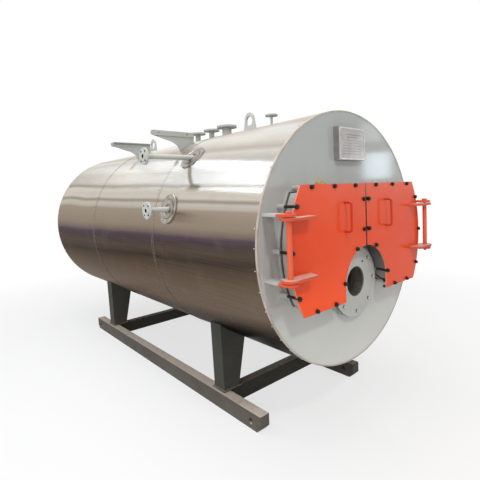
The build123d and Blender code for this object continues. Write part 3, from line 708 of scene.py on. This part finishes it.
flange_low, flange_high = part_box("burner_flange")
flange_face_y = flange_low.y
burner_z = (flange_low.z + flange_high.z) / 2
flange_grey = painted_steel("flange_grey", chart(184, 185, 180), chart(171, 172, 167), grey_dust, grey_edge,
                            0.5, 0.6)
shaded_grimy_sides(flange_grey, flange_face_y + 0.002, flange_face_y + 0.007, chart(92, 90, 83))
coat_node(flange_grey, "burner_flange")
throat_cast = cloudy("throat_cast", (16, 6), (chart(70, 66, 60), chart(104, 98, 90)), (0.8, 0.95),
                     (140, 6), 0.003, 0.7)
stained(throat_cast, (40, 4), 0.5, 0.7, 0.6, chart(44, 42, 40))
coat_node(throat_cast, "burner_throat")


def lifted(tree, shape, height):
    """Moves a shape along Z."""
    rise = step(tree, "ShaderNodeCombineXYZ", {2: height}).outputs[0]
    return step(tree, "GeometryNodeTransform", {"Geometry": shape, "Translation": rise}).outputs[0]


def upright_bar(tree, sides, radius, length, middle_share=0.5):
    """A bar along Z that stands on zero, or hangs from it where its middle's share is below zero."""
    bar = step(tree, "GeometryNodeMeshCylinder", {"Vertices": sides, "Radius": radius, "Depth": length})
    return lifted(tree, bar.outputs["Mesh"], times(tree, length, middle_share))


def chamfered_end(tree, sides, radius, top_radius, depth, height):
    """The cone that ends a bar at a height."""
    feeds = {"Vertices": sides, "Radius Top": top_radius, "Radius Bottom": radius, "Depth": depth}
    return lifted(tree, step(tree, "GeometryNodeMeshCone", feeds).outputs["Mesh"], height)


def joined(tree, *shapes):
    """One shape of several."""
    whole = step(tree, "GeometryNodeJoinGeometry")
    for shape in shapes:
        tree.links.new(shape, whole.inputs[0])
    return whole.outputs[0]


def circle_spots(radius, y, centre_z, start=0.0, count=8):
    """Spots for bolts, once round a standing face."""
    turns = [start + 2 * math.pi / count * number for number in range(count)]
    return [(radius * math.cos(turn), y, centre_z + radius * math.sin(turn)) for turn in turns]


boss_maker, given = new_maker("round_bosses", "Boss Radius", "Boss Length", "Chamfer")
bar = upright_bar(boss_maker, 22, given["Boss Radius"], given["Boss Length"])
narrow = sum_of(boss_maker, "SUBTRACT", given["Boss Radius"], given["Chamfer"])
nose = chamfered_end(boss_maker, 22, given["Boss Radius"], narrow, given["Chamfer"], given["Boss Length"])
close_maker(boss_maker, given, stand_on_spots(boss_maker, given, joined(boss_maker, bar, nose)), False)
bolt_circle = 0.190
bolt_grey = painted_steel("bolt_grey", chart(204, 204, 198), chart(190, 190, 184), grey_dust, grey_edge,
                          0.4, 0.4)
shaded_grimy_sides(bolt_grey, flange_face_y - 0.009, flange_face_y - 0.006, chart(84, 82, 76))
bolt_spots = circle_spots(bolt_circle, flange_face_y, burner_z)
on_spots(boss_maker, "burner_bolts", bolt_spots, "boiler", "light_grey",
         boss_radius=0.0095, boss_length=0.0085, chamfer=0.0015, finish=bolt_grey)


# The branches on top: short pipes with flat flanges, welded to the vessel and standing out of the cladding.
# Sprayed light grey, with a neat sealing bead where each pipe leaves the sheet.
satin = (0.4, 0.56)
branch_grey = painted_steel("branch_grey", chart(176, 177, 173), chart(158, 159, 154), grey_dust, grey_edge,
                            0.55, 0.6, satin)
seal_steps = 40
seal_lift = 0.001
branch_seals = []
for name, radius in (("steam_outlet", 0.0430), ("front_safety_valve_branch", 0.0270),
                     ("rear_safety_valve_branch", 0.0270), ("pressure_gauge_branch", 0.0120)):
    coat_node(branch_grey, name)
    low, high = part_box(name)
    seal = []
    for number in range(seal_steps):
        turn = 2 * math.pi * number / seal_steps
        x = radius * math.cos(turn)
        y = (low.y + high.y) / 2 + radius * math.sin(turn)
        seal.append(Vector((x, y, axis_z + math.sqrt(drum_radius ** 2 - x ** 2) + seal_lift)))
    branch_seals.append(seal)
bead("branch_seals", branch_seals, "boiler", "light_grey", True,
     bead_radius=0.0036, ripple_length=0.005, ripple_depth=0.06, finish=branch_grey)


# The lifting lugs: two thick plates with rounded heads and an eye, welded to the top of the vessel.
# The same light grey, rubbed bare in the eye and on the rounded head.
lug_grey = painted_steel("lug_grey", chart(186, 186, 181), chart(170, 169, 164), grey_dust,
                         chart(128, 122, 114), shine=satin)
coat_node(lug_grey, "lifting_lug_front", "lifting_lug_rear")


# The level-gauge branches: two pipes with drilled flanges on the left side, one above the other.
# Grey pipes; each leaves the cladding through a riveted stainless collar with a pressed ring, and thin dark
# seal beads in its grooves are painted shade.
level_rises = []
for name in ("level_branch_upper", "level_branch_lower"):
    low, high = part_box(name)
    level_rises.append((low.z + high.z) / 2 - axis_z)
collar_y = (low.y + high.y) / 2
hole_side = 0.03005
level_grey = painted_steel("level_grey", chart(182, 185, 179), chart(168, 171, 165), grey_dust, grey_edge,
                           shine=satin)
tree, place, parts, paint = opened(level_grey)
upper = sum_of(tree, "GREATER_THAN", parts["Z"], axis_z + sum(level_rises) / 2)
middle = between(tree, upper, 0.0, 1.0, axis_z + level_rises[1], axis_z + level_rises[0])
fold_y = sum_of(tree, "ABSOLUTE", sum_of(tree, "SUBTRACT", parts["Y"], collar_y))
fold_z = sum_of(tree, "ABSOLUTE", sum_of(tree, "SUBTRACT", parts["Z"], middle))
folded = step(tree, "ShaderNodeCombineXYZ", {0: fold_y, 1: fold_z}).outputs[0]
# The bolt holes and the bore are painted dark: painted shade in the recesses.
hole_shade = between(tree, vector_sum(tree, "DISTANCE", folded, (hole_side, hole_side, 0.0)), 0.0082, 0.0074)
bore_shade = between(tree, vector_sum(tree, "DISTANCE", folded, (0.0, 0.0, 0.0)), 0.0145, 0.0138)
repaint(tree, over(tree, sum_of(tree, "MAXIMUM", hole_shade, bore_shade), paint, chart(52, 50, 46)))
coat_node(level_grey, "level_branch_upper", "level_branch_lower")
collar_sheet = cloudy("collar_sheet", (22, 5), (chart(178, 171, 160), chart(150, 143, 132)), (0.22, 0.34),
                      (160, 3, (1.0, 0.1, 1.0)), 0.0002, 0.4, 1.0)
coat_node(collar_sheet, "level_collar_upper", "level_collar_lower")
collar_face = drum_radius + 0.005
rivet_circle = 0.088
ring_outline = ((0.034, -0.001), (0.034, 0.0030), (0.040, 0.0042), (0.060, 0.0058), (0.0645, 0.0050),
                (0.0672, 0.0020), (0.068, -0.001))
rim_outline = ((0.0975, -0.001), (0.0985, 0.0016), (0.1015, 0.0024), (0.1042, 0.0012), (0.1046, -0.002))
groove_shade_outlines = ((0.0692, 0.0002), (0.0330, 0.0020))
collar_rivets = []
collar_facings = []
groove_shade_runs = []
ring_points = []
ring_faces = []
for rise in level_rises:
    lean = math.asin(rise / drum_radius)
    facing = Vector((-math.cos(lean), 0.0, math.sin(lean)))
    ahead = Vector((0.0, 1.0, 0.0))
    up = Vector((math.sin(lean), 0.0, math.cos(lean)))
    seat = Vector((0.0, collar_y, axis_z)) + facing * collar_face
    for number in range(4):
        turn = math.pi / 2 * number
        collar_rivets.append(seat + (ahead * math.cos(turn) + up * math.sin(turn)) * rivet_circle)
        collar_facings.append(facing)
    for radius, height in groove_shade_outlines:
        turns = [math.pi * number / 30 for number in range(60)]
        spokes = [ahead * math.cos(turn) + up * math.sin(turn) for turn in turns]
        groove_shade_runs.append([seat + spoke * radius + facing * height for spoke in spokes])
    for outline in (ring_outline, rim_outline):
        add_ring(ring_points, ring_faces, outline, 72, seat, ahead, up, facing)
ring_piece("collar_rings", ring_points, ring_faces, collar_sheet)
# Dark grey beads at the pressed ring's edge and round the pipe: painted shade in the grooves, made as thin
# seals.
seal_grey = cloudy("seal_grey", (120, 4), (chart(88, 84, 77), chart(66, 62, 56)), (0.5, 0.7),
                   (120, 4), 0.0002, 0.4)
bead("collar_seals", groove_shade_runs, "boiler", "refractory", True,
     bead_radius=0.0022, ripple_length=0.006, ripple_depth=0.08, finish=seal_grey)
on_spots(screw_maker, "collar_rivets", collar_rivets, "boiler", "stainless", collar_facings,
         head_radius=0.0045, head_height=0.0024, finish=screw_zinc)


# The platform brackets: two arms of steel angle, each with a gusset plate, welded high on the left side.
# Light grey like the branches, with two holes in the upright leg for the platform's bolts.
bracket_grey = painted_steel("bracket_grey", chart(170, 171, 167), chart(152, 153, 149), grey_dust, grey_edge,
                             0.5, 0.6, satin)
coat_node(bracket_grey, "platform_bracket_front", "platform_bracket_rear")


# The nameplate: a folded box of brushed stainless sheet, fixed to the front plate near its top.
# Its face has a raised border, blank etched rules and a rivet in each corner.
plate_corner, plate_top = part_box("nameplate_box")
plate_low = plate_corner.z
plate_high = plate_top.z
plate_face_y = plate_corner.y
nameplate_sheet, tree, place = new_coat("nameplate_sheet")
grain = mottle(tree, place, 150, 3, (0.03, 1.0, 1.0))
clouds = mottle(tree, place, 9, 4)
tone = over(tree, between(tree, clouds, 0.35, 0.65), chart(184, 181, 178), chart(160, 156, 153))
tone = over(tree, between(tree, grain, 0.4, 0.7, 0.0, 0.2), tone, chart(156, 152, 150))
brushed = dented(tree, clouds, 0.006, 0.2, dented(tree, grain, 0.0002, 0.4))
send(tree, tone, between(tree, grain, 0.3, 0.7, 0.3, 0.46), brushed, 0.9)
coat_node(nameplate_sheet, "nameplate_box")
border_inset = 0.004
border_half_width = plate_top.x - border_inset
border_low = plate_low + border_inset
border_high = plate_high - border_inset
border_corner = 0.020
border_width = 0.006


def border_outline(inset):
    """The border's rectangle with rounded corners in X and Z, drawn in by an inset."""
    bend = border_corner - inset
    right = border_half_width - border_corner
    top = border_high - border_corner
    bottom = border_low + border_corner
    outline = []
    middles = ((right, top, 0), (-right, top, 90), (-right, bottom, 180), (right, bottom, 270))
    for centre_x, centre_z, start in middles:
        for turn in (math.radians(start + 15 * number) for number in range(7)):
            outline.append((centre_x + bend * math.cos(turn), centre_z + bend * math.sin(turn) - axis_z))
    return outline


border_sheet = cloudy("border_sheet", (60, 4), (chart(212, 210, 206), chart(190, 187, 183)), (0.3, 0.45),
                      (300, 2), 0.0002, 0.4, 0.8)
border_proud = 0.0016
border_sunk = 0.0005
collar_strip("nameplate_border", border_outline(border_width), border_outline(0.0),
             plate_face_y - border_proud, plate_face_y + border_sunk, "boiler", border_sheet)
rivet_x = 0.122
rivet_inset = 0.019
rivet_spots = [(side * rivet_x, plate_face_y, height)
               for side in (-1, 1) for height in (plate_low + rivet_inset, plate_high - rivet_inset)]
on_spots(screw_maker, "nameplate_rivets", rivet_spots, "boiler", "stainless",
         head_radius=0.005, head_height=0.003, finish=screw_zinc)
etched_ink = cloudy("etched_ink", (200, 3), (chart(58, 56, 55), chart(92, 89, 87)), (0.5, 0.7),
                    (200, 3), 0.0001, 0.4)
rule_reach = 0.098
rule_gap = 0.006
rule_pitch = 0.0165
first_rule = 0.036
rule_height = 0.0016
rule_depths = (plate_face_y - 0.0006, plate_face_y + 0.0004)
head_rules = ((-0.060, rule_reach, 0.047, 0.0445), (-0.060, 0.070, 0.062, 0.060))
rules = []
for row in range(6):
    rule_z = plate_low + first_rule + rule_pitch * row
    rules.append((-rule_reach, -rule_gap, rule_z, rule_z + rule_height))
    rules.append((rule_gap, rule_reach, rule_z, rule_z + rule_height))
for left, right, low_drop, high_drop in head_rules:
    rules.append((left, right, plate_high - low_drop, plate_high - high_drop))
box_sides = ((0, 1, 2, 3), (7, 6, 5, 4), (0, 4, 5, 1), (1, 5, 6, 2), (2, 6, 7, 3), (3, 7, 4, 0))
shell = bmesh.new()
for left, right, low, high in rules:
    corners = [shell.verts.new((x, y, z)) for y in rule_depths
               for x, z in ((left, low), (right, low), (right, high), (left, high))]
    for side in box_sides:
        shell.faces.new([corners[number] for number in side])
bmesh.ops.recalc_face_normals(shell, faces=shell.faces)
rules_mesh = bpy.data.meshes.new("nameplate_rules")
shell.to_mesh(rules_mesh)
shell.free()
rules_mesh.materials.append(etched_ink)
add_piece("nameplate_rules", rules_mesh, "boiler")


# The hinge brackets and pins: flat plates welded to the front plate, with a headed pin through each pair.
# Grey at the root like the plate and orange from there out like the doors, dusty on top.
orange_dust = chart(206, 150, 130)
hinge_orange = painted_steel("hinge_orange", chart(222, 94, 64), chart(210, 86, 56), orange_dust,
                             chart(232, 132, 104), 0.55, 0.5, (0.36, 0.52), 0.35)
coat_node(hinge_orange, "hinge_pin_left", "hinge_pin_right")
bracket_paint = painted_steel("bracket_paint", chart(216, 80, 46), chart(204, 72, 40), orange_dust,
                              chart(226, 120, 92), 0.35, 0.4, (0.36, 0.52), 0.35)
bracket_change_y = -0.864
change_blur = 0.004
tree, place, parts, paint = opened(bracket_paint)
ragged = between(tree, mottle(tree, place, 40, 4), 0.3, 0.7, -0.006, 0.006)
edge_y = sum_of(tree, "ADD", parts["Y"], ragged)
root = between(tree, edge_y, bracket_change_y - change_blur, bracket_change_y + change_blur)
grey_root = over(tree, lying_dust(tree, place, 0.5), chart(172, 172, 168), chart(196, 192, 186))
repaint(tree, over(tree, root, paint, grey_root))
bracket_thickness = 0.014
weld_inset = 0.004
bracket_runs = []
for name in ("hinge_brackets_left", "hinge_brackets_right"):
    coat_node(bracket_paint, name)
    low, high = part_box(name)
    weld_xs = (low.x + weld_inset, high.x - weld_inset)
    for height in (high.z - bracket_thickness, high.z, low.z, low.z + bracket_thickness):
        bracket_runs.append([Vector((x, front_y - let_in, height)) for x in weld_xs])
bead("bracket_welds", bracket_runs, "boiler", "light_grey",
     bead_radius=0.0045, ripple_length=0.0035, ripple_depth=0.2, finish=plate_grey)


# The smoke box doors: two flat plates cut round the burner, each with hinge arms, a hinge tube and a handle.
# Orange gloss over primer, pale on the cut edges, with painted light and shade: a painted reflection towards
# the top, painted light from the floor low down, most on the left door, and painted shade along the seam
# where they meet.
door_face_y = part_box("left_door_panel")[0].y
door_orange = painted_steel("door_orange", chart(224, 72, 26), chart(220, 70, 26), orange_dust,
                            chart(236, 120, 80), 0.5, 0.4, (0.16, 0.25), 0.23, 0.00004)
tree, place, parts, paint = opened(streaked(door_orange, chart(216, 90, 56), 0.12))
height = parts["Z"]
across = parts["X"]
# Painted light from the floor: the paint is lighter low down, most on the left door.
floor_light_across = between(tree, across, 0.10, -0.10, 0.15, 1.0)
lower = times(tree, between(tree, height, 1.14, 0.92, 0.0, 0.9), floor_light_across)
shaded = over(tree, lower, paint, chart(242, 80, 24))
# Painted reflection: pinker and paler towards the top, in soft clouds.
cloud = between(tree, mottle(tree, place, 6, 2), 0.3, 0.7, 0.2, 0.45)
top_painted_reflection = over(tree, times(tree, between(tree, height, 1.30, 1.56), cloud), shaded, chart(212, 114, 94))
spots = mottle(tree, place, 30, 4)
cut = times(tree, between(tree, forward(tree), 0.6, 0.4), between(tree, spots, 0.3, 0.7, 0.4, 0.8))
edged = over(tree, cut, top_painted_reflection, chart(198, 150, 134))
# Painted shade along the seam between the doors, darker below and lighter near the top.
off_seam = sum_of(tree, "ABSOLUTE", across)
seam_shade_share = times(tree, between(tree, off_seam, 0.0095, 0.0070), between(tree, spots, 0.3, 0.7, 0.7, 0.95))
seam_painted_shade = over(tree, between(tree, height, 1.44, 1.49), chart(76, 44, 36), chart(142, 112, 104))
repaint(tree, over(tree, seam_shade_share, edged, seam_painted_shade))
arm_orange = painted_steel("arm_orange", chart(204, 82, 52), chart(192, 74, 46), chart(204, 168, 152),
                           chart(226, 120, 92), 1.2, 0.5, satin, 0.35)
# The handles are a deeper orange than the doors: painted shade on their bars.
handle_orange = painted_steel("handle_orange", chart(190, 52, 22), chart(176, 46, 18), orange_dust,
                              chart(206, 76, 48), 0.3, 0.5, (0.3, 0.45), 0.3)
for side in ("left", "right"):
    coat_node(door_orange, side + "_door_panel")
    coat_node(arm_orange, side + "_door_hinge_arms")
    coat_node(hinge_orange, side + "_door_hinge_tube")
    coat_node(handle_orange, side + "_door_handle")


# The door linings: slabs of cast refractory on the backs of the doors, with a rope seal round them.
# Pale brown castable, sooted in clouds; the rope is grey glass fibre.
lining_cast = cloudy("lining_cast", (5, 7), (chart(168, 154, 134), chart(122, 110, 96)), (0.82, 0.96),
                     (130, 6), 0.004, 0.7)
stained(lining_cast, (60, 4), 0.52, 0.7, 0.5, chart(92, 84, 76))
coat_node(lining_cast, "left_door_lining", "right_door_lining")
rope_grey = cloudy("rope_grey", (90, 5), (chart(168, 164, 154), chart(120, 116, 108)), (0.8, 0.95),
                   (500, 3), 0.0006, 0.6)
seal_y = -0.8766
seal_half_gap = 0.030
seal_inset = 0.005
for side, sign in (("left", -1), ("right", 1)):
    half_round = [(x, z) for x, z in smoke_box_outline(-seal_inset) if x * sign > seal_half_gap]
    line = [Vector((x, seal_y, axis_z + z)) for x, z in half_round]
    if sign < 0:
        line = list(reversed(line))
    line.append(Vector((sign * seal_half_gap, seal_y, line[-1].z)))
    line.append(Vector((sign * seal_half_gap, seal_y, axis_z + smoke_half_height - seal_inset)))
    bead(side + "_door_rope", [line], side + "_door", "refractory", True,
         bead_radius=0.0023, ripple_length=0.003, ripple_depth=0.14, finish=rope_grey)


# The door studs: grey bosses welded to the front plate with black threaded rods that reach the doors.
# Each door is pulled shut by black nuts and washers, which stay with the door when it swings.
boss_length = 0.043
rod_radius = 0.0080
thread_pitch = 0.002
edge_stud_z = 0.333
top_stud_x = (0.113, 0.315, 0.511)
bottom_stud_x = (0.327, 0.494)
rim_stud_radius = 0.675
rim_stud_turns = (20.5, 0.3, -20.5)
arch_stud_radius = 0.239
arch_stud_turns = (7, 64)
seam_stud_x = 0.026
seam_stud_z = (0.249, 0.066)


def round_place(radius, turn, centre_z=0.0):
    """A place in X and Z at a radius and a turn in degrees."""
    return radius * math.cos(math.radians(turn)), centre_z + radius * math.sin(math.radians(turn))


stud_places = [(x, edge_stud_z) for x in top_stud_x]
stud_places += [(x, -edge_stud_z) for x in bottom_stud_x]
stud_places += [round_place(rim_stud_radius, turn) for turn in rim_stud_turns]
stud_places += [round_place(arch_stud_radius, turn, arch_low) for turn in arch_stud_turns]
stud_places += [(seam_stud_x, z) for z in seam_stud_z]
stud_black = cloudy("stud_black", (110, 4), (chart(26, 24, 23), chart(48, 44, 41)), (0.38, 0.6),
                    (700, 2), 0.0002, 0.4, 0.5)
tree, place, parts, paint = opened(stud_black)
repaint(tree, over(tree, lying_dust(tree, place, 0.35), paint, chart(112, 98, 86)))


def threaded_rod(tree, radius, length, pitch):
    """A rod along Z from zero, with the ridges of its thread."""
    tip = step(tree, "ShaderNodeCombineXYZ", {2: length}).outputs[0]
    line = step(tree, "GeometryNodeCurvePrimitiveLine", {"End": tip}).outputs[0]
    turns, odd = evened(tree, line, times(tree, pitch, 0.5))
    return round_sweep(tree, turns, between(tree, odd, 0.0, 1.0, 0.88, 1.0), radius, 12)


rod_maker, given = new_maker("stud_rods", "Rod Radius", "Rod Length", "Thread Pitch")
rod = threaded_rod(rod_maker, given["Rod Radius"], given["Rod Length"], given["Thread Pitch"])
close_maker(rod_maker, given, stand_on_spots(rod_maker, given, rod), False)
boss_spots = [(sign * x, front_y + let_in, axis_z + z) for x, z in stud_places for sign in (-1, 1)]
rod_spots = [(sign * x, front_y - boss_length, axis_z + z) for x, z in stud_places for sign in (-1, 1)]
on_spots(boss_maker, "stud_bosses", boss_spots, "boiler", "light_grey",
         boss_radius=0.0135, boss_length=boss_length, chamfer=0.003, finish=box_grey)
on_spots(rod_maker, "stud_rods", rod_spots, "boiler", "boiler_steel",
         rod_radius=rod_radius, rod_length=0.0720, thread_pitch=thread_pitch, finish=stud_black)
nut_maker, given = new_maker("nuts", "Nut Radius", "Nut Height", "Washer Radius", "Washer Height",
                             "Rod Radius", "Rod Proud", "Shank")
washer = upright_bar(nut_maker, 20, given["Washer Radius"], given["Washer Height"])
hexagon = upright_bar(nut_maker, 6, given["Nut Radius"], given["Nut Height"])
crown_radius = times(nut_maker, given["Nut Radius"], 0.84)
crown_depth = times(nut_maker, given["Nut Height"], 0.16)
crown = chamfered_end(nut_maker, 6, given["Nut Radius"], crown_radius, crown_depth, given["Nut Height"])
rod_total = sum_of(nut_maker, "ADD", given["Nut Height"], given["Rod Proud"])
rod_end = threaded_rod(nut_maker, given["Rod Radius"], rod_total, thread_pitch)
shank = upright_bar(nut_maker, 12, given["Rod Radius"], given["Shank"], -0.5)
nut = joined(nut_maker, washer, hexagon, crown, rod_end, shank)
close_maker(nut_maker, given, stand_on_spots(nut_maker, given, nut, 11), False)
for side, sign in (("left", -1), ("right", 1)):
    nut_spots = [(sign * x, door_face_y, axis_z + z) for x, z in stud_places]
    on_spots(nut_maker, side + "_door_nuts", nut_spots, side + "_door", "boiler_steel",
             nut_radius=0.0124, nut_height=0.0120, washer_radius=0.0128, washer_height=0.0025,
             rod_radius=rod_radius, rod_proud=0.004, shank=0.0095, finish=stud_black)


# The odds and ends round the doors: a scrap of yellow fibre gasket, torn and bent, caught over the left door,
# and small black steel pieces: a latch rod with a round knob, fixed to the arch's wall,
# a screw in the burner flange and a plug in the front plate.
gasket_sheet = cloudy("gasket_sheet", (90, 5), (chart(222, 204, 158), chart(198, 176, 126)), (0.75, 0.92),
                      (400, 4), 0.0006, 0.6)
scrap_edge = ((-0.497, 0.020), (-0.488, 0.030), (-0.470, 0.036), (-0.452, 0.058), (-0.440, 0.062),
              (-0.425, 0.052), (-0.405, 0.047), (-0.385, 0.040), (-0.374, 0.026))
scrap_base = 0.318
scrap_y = -0.8772
scrap_lean = -0.004
scrap_ripple = 0.0012
scrap_thickness = 0.0014
scrap_rows = 6
shell = bmesh.new()
columns = []
for number, (x, rise) in enumerate(scrap_edge):
    column = []
    for row in range(scrap_rows):
        share = row / (scrap_rows - 1)
        bend = scrap_lean * share * share + scrap_ripple * math.sin(3.1 * number + 2 * row) * share
        column.append(shell.verts.new((x, scrap_y + bend, axis_z + scrap_base + rise * share)))
    columns.append(column)
for first, second in zip(columns, columns[1:]):
    for row in range(scrap_rows - 1):
        shell.faces.new((first[row], second[row], second[row + 1], first[row + 1]))
bmesh.ops.solidify(shell, geom=shell.faces[:], thickness=scrap_thickness)
bmesh.ops.recalc_face_normals(shell, faces=shell.faces)
scrap_mesh = bpy.data.meshes.new("gasket_scrap")
shell.to_mesh(scrap_mesh)
shell.free()
scrap_mesh.materials.append(gasket_sheet)
add_piece("gasket_scrap", scrap_mesh, "left_door")
latch_line = ((0.278, -0.786, 0.926), (0.266, -0.796, 0.924), (0.256, -0.815, 0.919), (0.250, -0.836, 0.913),
              (0.247, -0.852, 0.910))
knob_spot = (0.247, -0.856, 0.910)
screw_spot = (0.077, flange_face_y, 1.053)
plug_spot = (0.409, front_y, 0.817)
bead("latch_rod", [latch_line], "boiler", "boiler_steel",
     bead_radius=0.0045, ripple_length=0.004, ripple_depth=0.0, finish=stud_black)
on_spots(screw_maker, "latch_knob", [knob_spot], "boiler", "boiler_steel",
         head_radius=0.0085, head_height=0.0095, finish=stud_black)
on_spots(screw_maker, "flange_screw", [screw_spot], "boiler", "boiler_steel",
         head_radius=0.0075, head_height=0.0045, finish=stud_black)
on_spots(boss_maker, "plate_plug", [plug_spot], "boiler", "boiler_steel",
         boss_radius=0.0100, boss_length=0.0110, chamfer=0.002, finish=stud_black)


# The rear end: a round access cover and the flue outlet on the rear plate, both of welded plate.
# Light grey paint; the cover is held by eight bolts.
coat_node(branch_grey, "flue_outlet")
coat_node(flange_grey, "rear_access_cover")
cover_low, cover_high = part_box("rear_access_cover")
cover_circle = 0.245
cover_spots = circle_spots(cover_circle, cover_high.y, (cover_low.z + cover_high.z) / 2, math.pi / 8)
cover_facings = [(0.0, 1.0, 0.0)] * len(cover_spots)
on_spots(nut_maker, "rear_cover_nuts", cover_spots, "boiler", "boiler_steel", cover_facings,
         nut_radius=0.0136, nut_height=0.0130, washer_radius=0.0150, washer_height=0.0028,
         rod_radius=rod_radius, rod_proud=0.006, shank=0.010, finish=stud_black)


# The floor: a wide pale disc that the skid stands on, white where it is far off.
# It keeps the soft shadow of the boiler close in.
def seen_share(tree):
    """1 for a ray from the camera, off a mirror or through glass, and 0 for any other."""
    path = step(tree, "ShaderNodeLightPath").outputs
    seen = sum_of(tree, "MAXIMUM", path["Is Camera Ray"], path["Is Glossy Ray"])
    return sum_of(tree, "MAXIMUM", seen, path["Is Transmission Ray"])


floor_radius = 16.0
shadow_middle = (0.0, 1.0, 0.0)
shadow_fade = (2.2, 5.0)
floor_mesh = bpy.data.meshes.new("floor")
shell = bmesh.new()
bmesh.ops.create_circle(shell, cap_ends=True, segments=96, radius=floor_radius)
shell.to_mesh(floor_mesh)
shell.free()
floor = bpy.data.objects.new("floor", floor_mesh)
bpy.context.scene.collection.objects.link(floor)
floor_white, tree, place = new_coat("floor_white")
tree.nodes.remove(tree.nodes["Principled BSDF"])
matte = step(tree, "ShaderNodeBsdfDiffuse", {"Color": chart(222, 221, 219)}).outputs[0]
glow = step(tree, "ShaderNodeEmission", {"Color": white, "Strength": 1.0}).outputs[0]
fade = between(tree, vector_sum(tree, "DISTANCE", place, shadow_middle), *shadow_fade, 0.7, 1.0)
share = times(tree, seen_share(tree), fade)
mixed = step(tree, "ShaderNodeMixShader", {0: share, 1: matte, 2: glow}).outputs[0]
tree.links.new(mixed, tree.nodes["Material Output"].inputs["Surface"])
floor_mesh.materials.append(floor_white)


# The light: a pale even room, white where it is seen or mirrored, with wide lamps from the front right,
# the left and above, a smaller lamp high in front, and two window panes and a skylight that are mirrored.
room_strength = 0.42
room = bpy.data.worlds.new("room")
bpy.context.scene.world = room
room.use_nodes = True
tree = room.node_tree
sky = tree.nodes["Background"]
sky.inputs["Color"].default_value = white
tree.links.new(between(tree, seen_share(tree), 0.0, 1.0, room_strength, 1.0), sky.inputs["Strength"])


def wide_lamp(name, spot, aim, size, power, mirrored=False):
    """A square lamp that looks at a point, hidden from the camera and, unless mirrored, from mirrors."""
    lamp = bpy.data.lights.new(name, "AREA")
    lamp.shape = "SQUARE"
    lamp.size = size
    lamp.energy = power
    stand = bpy.data.objects.new(name, lamp)
    bpy.context.scene.collection.objects.link(stand)
    look = (Vector(aim) - Vector(spot)).normalized()
    stand.matrix_world = Matrix.Translation(spot) @ look.to_track_quat("-Z", "Y").to_matrix().to_4x4()
    stand.visible_camera = False
    stand.visible_glossy = mirrored
    return stand


wide_lamp("front_lamp", (3.4, -4.6, 2.3), (0.0, -0.6, 1.1), 2.2, 14)
wide_lamp("left_lamp", (-5.0, -2.6, 2.4), (-0.4, 0.0, 1.1), 3.0, 112)
wide_lamp("bay_lamp", (-1.3, -4.3, 4.9), (-0.5, -0.8, 1.3), 0.5, 84)
wide_lamp("top_lamp", (-0.8, 0.2, 5.6), (0.0, 0.6, 1.2), 4.5, 200)
pane = wide_lamp("window_pane", (3.36, -2.54, 1.85), (0.376, front_y, 1.679), 0.40, 2.9, True)
pane.data.color = (0.76, 0.89, 1.0)
wide_lamp("upper_pane", (3.25, -2.56, 2.36), (0.282, front_y, 1.90), 0.30, 0.5, True)
strip_spot = Vector((-2.15, 2.40, 4.28))
strip_aim = Vector((-0.68, 0.0, 1.62))
strip_side = Vector((0.876, 0.0, 0.483))
skylight = wide_lamp("skylight", strip_spot, strip_aim, 2.0, 52, True)
skylight.data.shape = "RECTANGLE"
skylight.data.size_y = 0.24
skylight.data.color = (0.70, 0.82, 1.0)
strip_look = (strip_aim - strip_spot).normalized()
strip_across = strip_look.cross(strip_side).normalized()
strip_turn = Matrix((strip_across.cross(strip_look), strip_across, -strip_look)).transposed()
skylight.matrix_world = Matrix.Translation(strip_spot) @ strip_turn.to_4x4()


# The camera: at eye height, a step to the left of the doors, turned a little up on its right side.
# Its lens and shift are worked out for a square picture, with its axis a little off the middle.
eye_spot = Vector((-2.0655, -2.1825, 1.5337))
yaw = 0.7190
pitch = 0.0636
roll = -0.0408
picture_pixels = 480
focal_pixels = 381.72
shift_pixels = (-11.59, -24.51)
ahead = Vector((math.sin(yaw) * math.cos(pitch), math.cos(yaw) * math.cos(pitch), -math.sin(pitch)))
level = Vector((math.cos(yaw), -math.sin(yaw), 0.0))
upright = level.cross(ahead)
right = math.cos(roll) * level + math.sin(roll) * upright
top = -math.sin(roll) * level + math.cos(roll) * upright
camera = bpy.data.cameras.new("camera")
camera.sensor_width = 36.0
camera.lens = focal_pixels / picture_pixels * camera.sensor_width
camera.shift_x = shift_pixels[0] / picture_pixels
camera.shift_y = shift_pixels[1] / picture_pixels
viewer = bpy.data.objects.new("camera", camera)
bpy.context.scene.collection.objects.link(viewer)
viewer.matrix_world = Matrix.Translation(eye_spot) @ Matrix((right, top, -ahead)).transposed().to_4x4()
bpy.context.scene.camera = viewer
bpy.context.scene.view_settings.view_transform = "Standard"

bpy.context.view_layer.update()
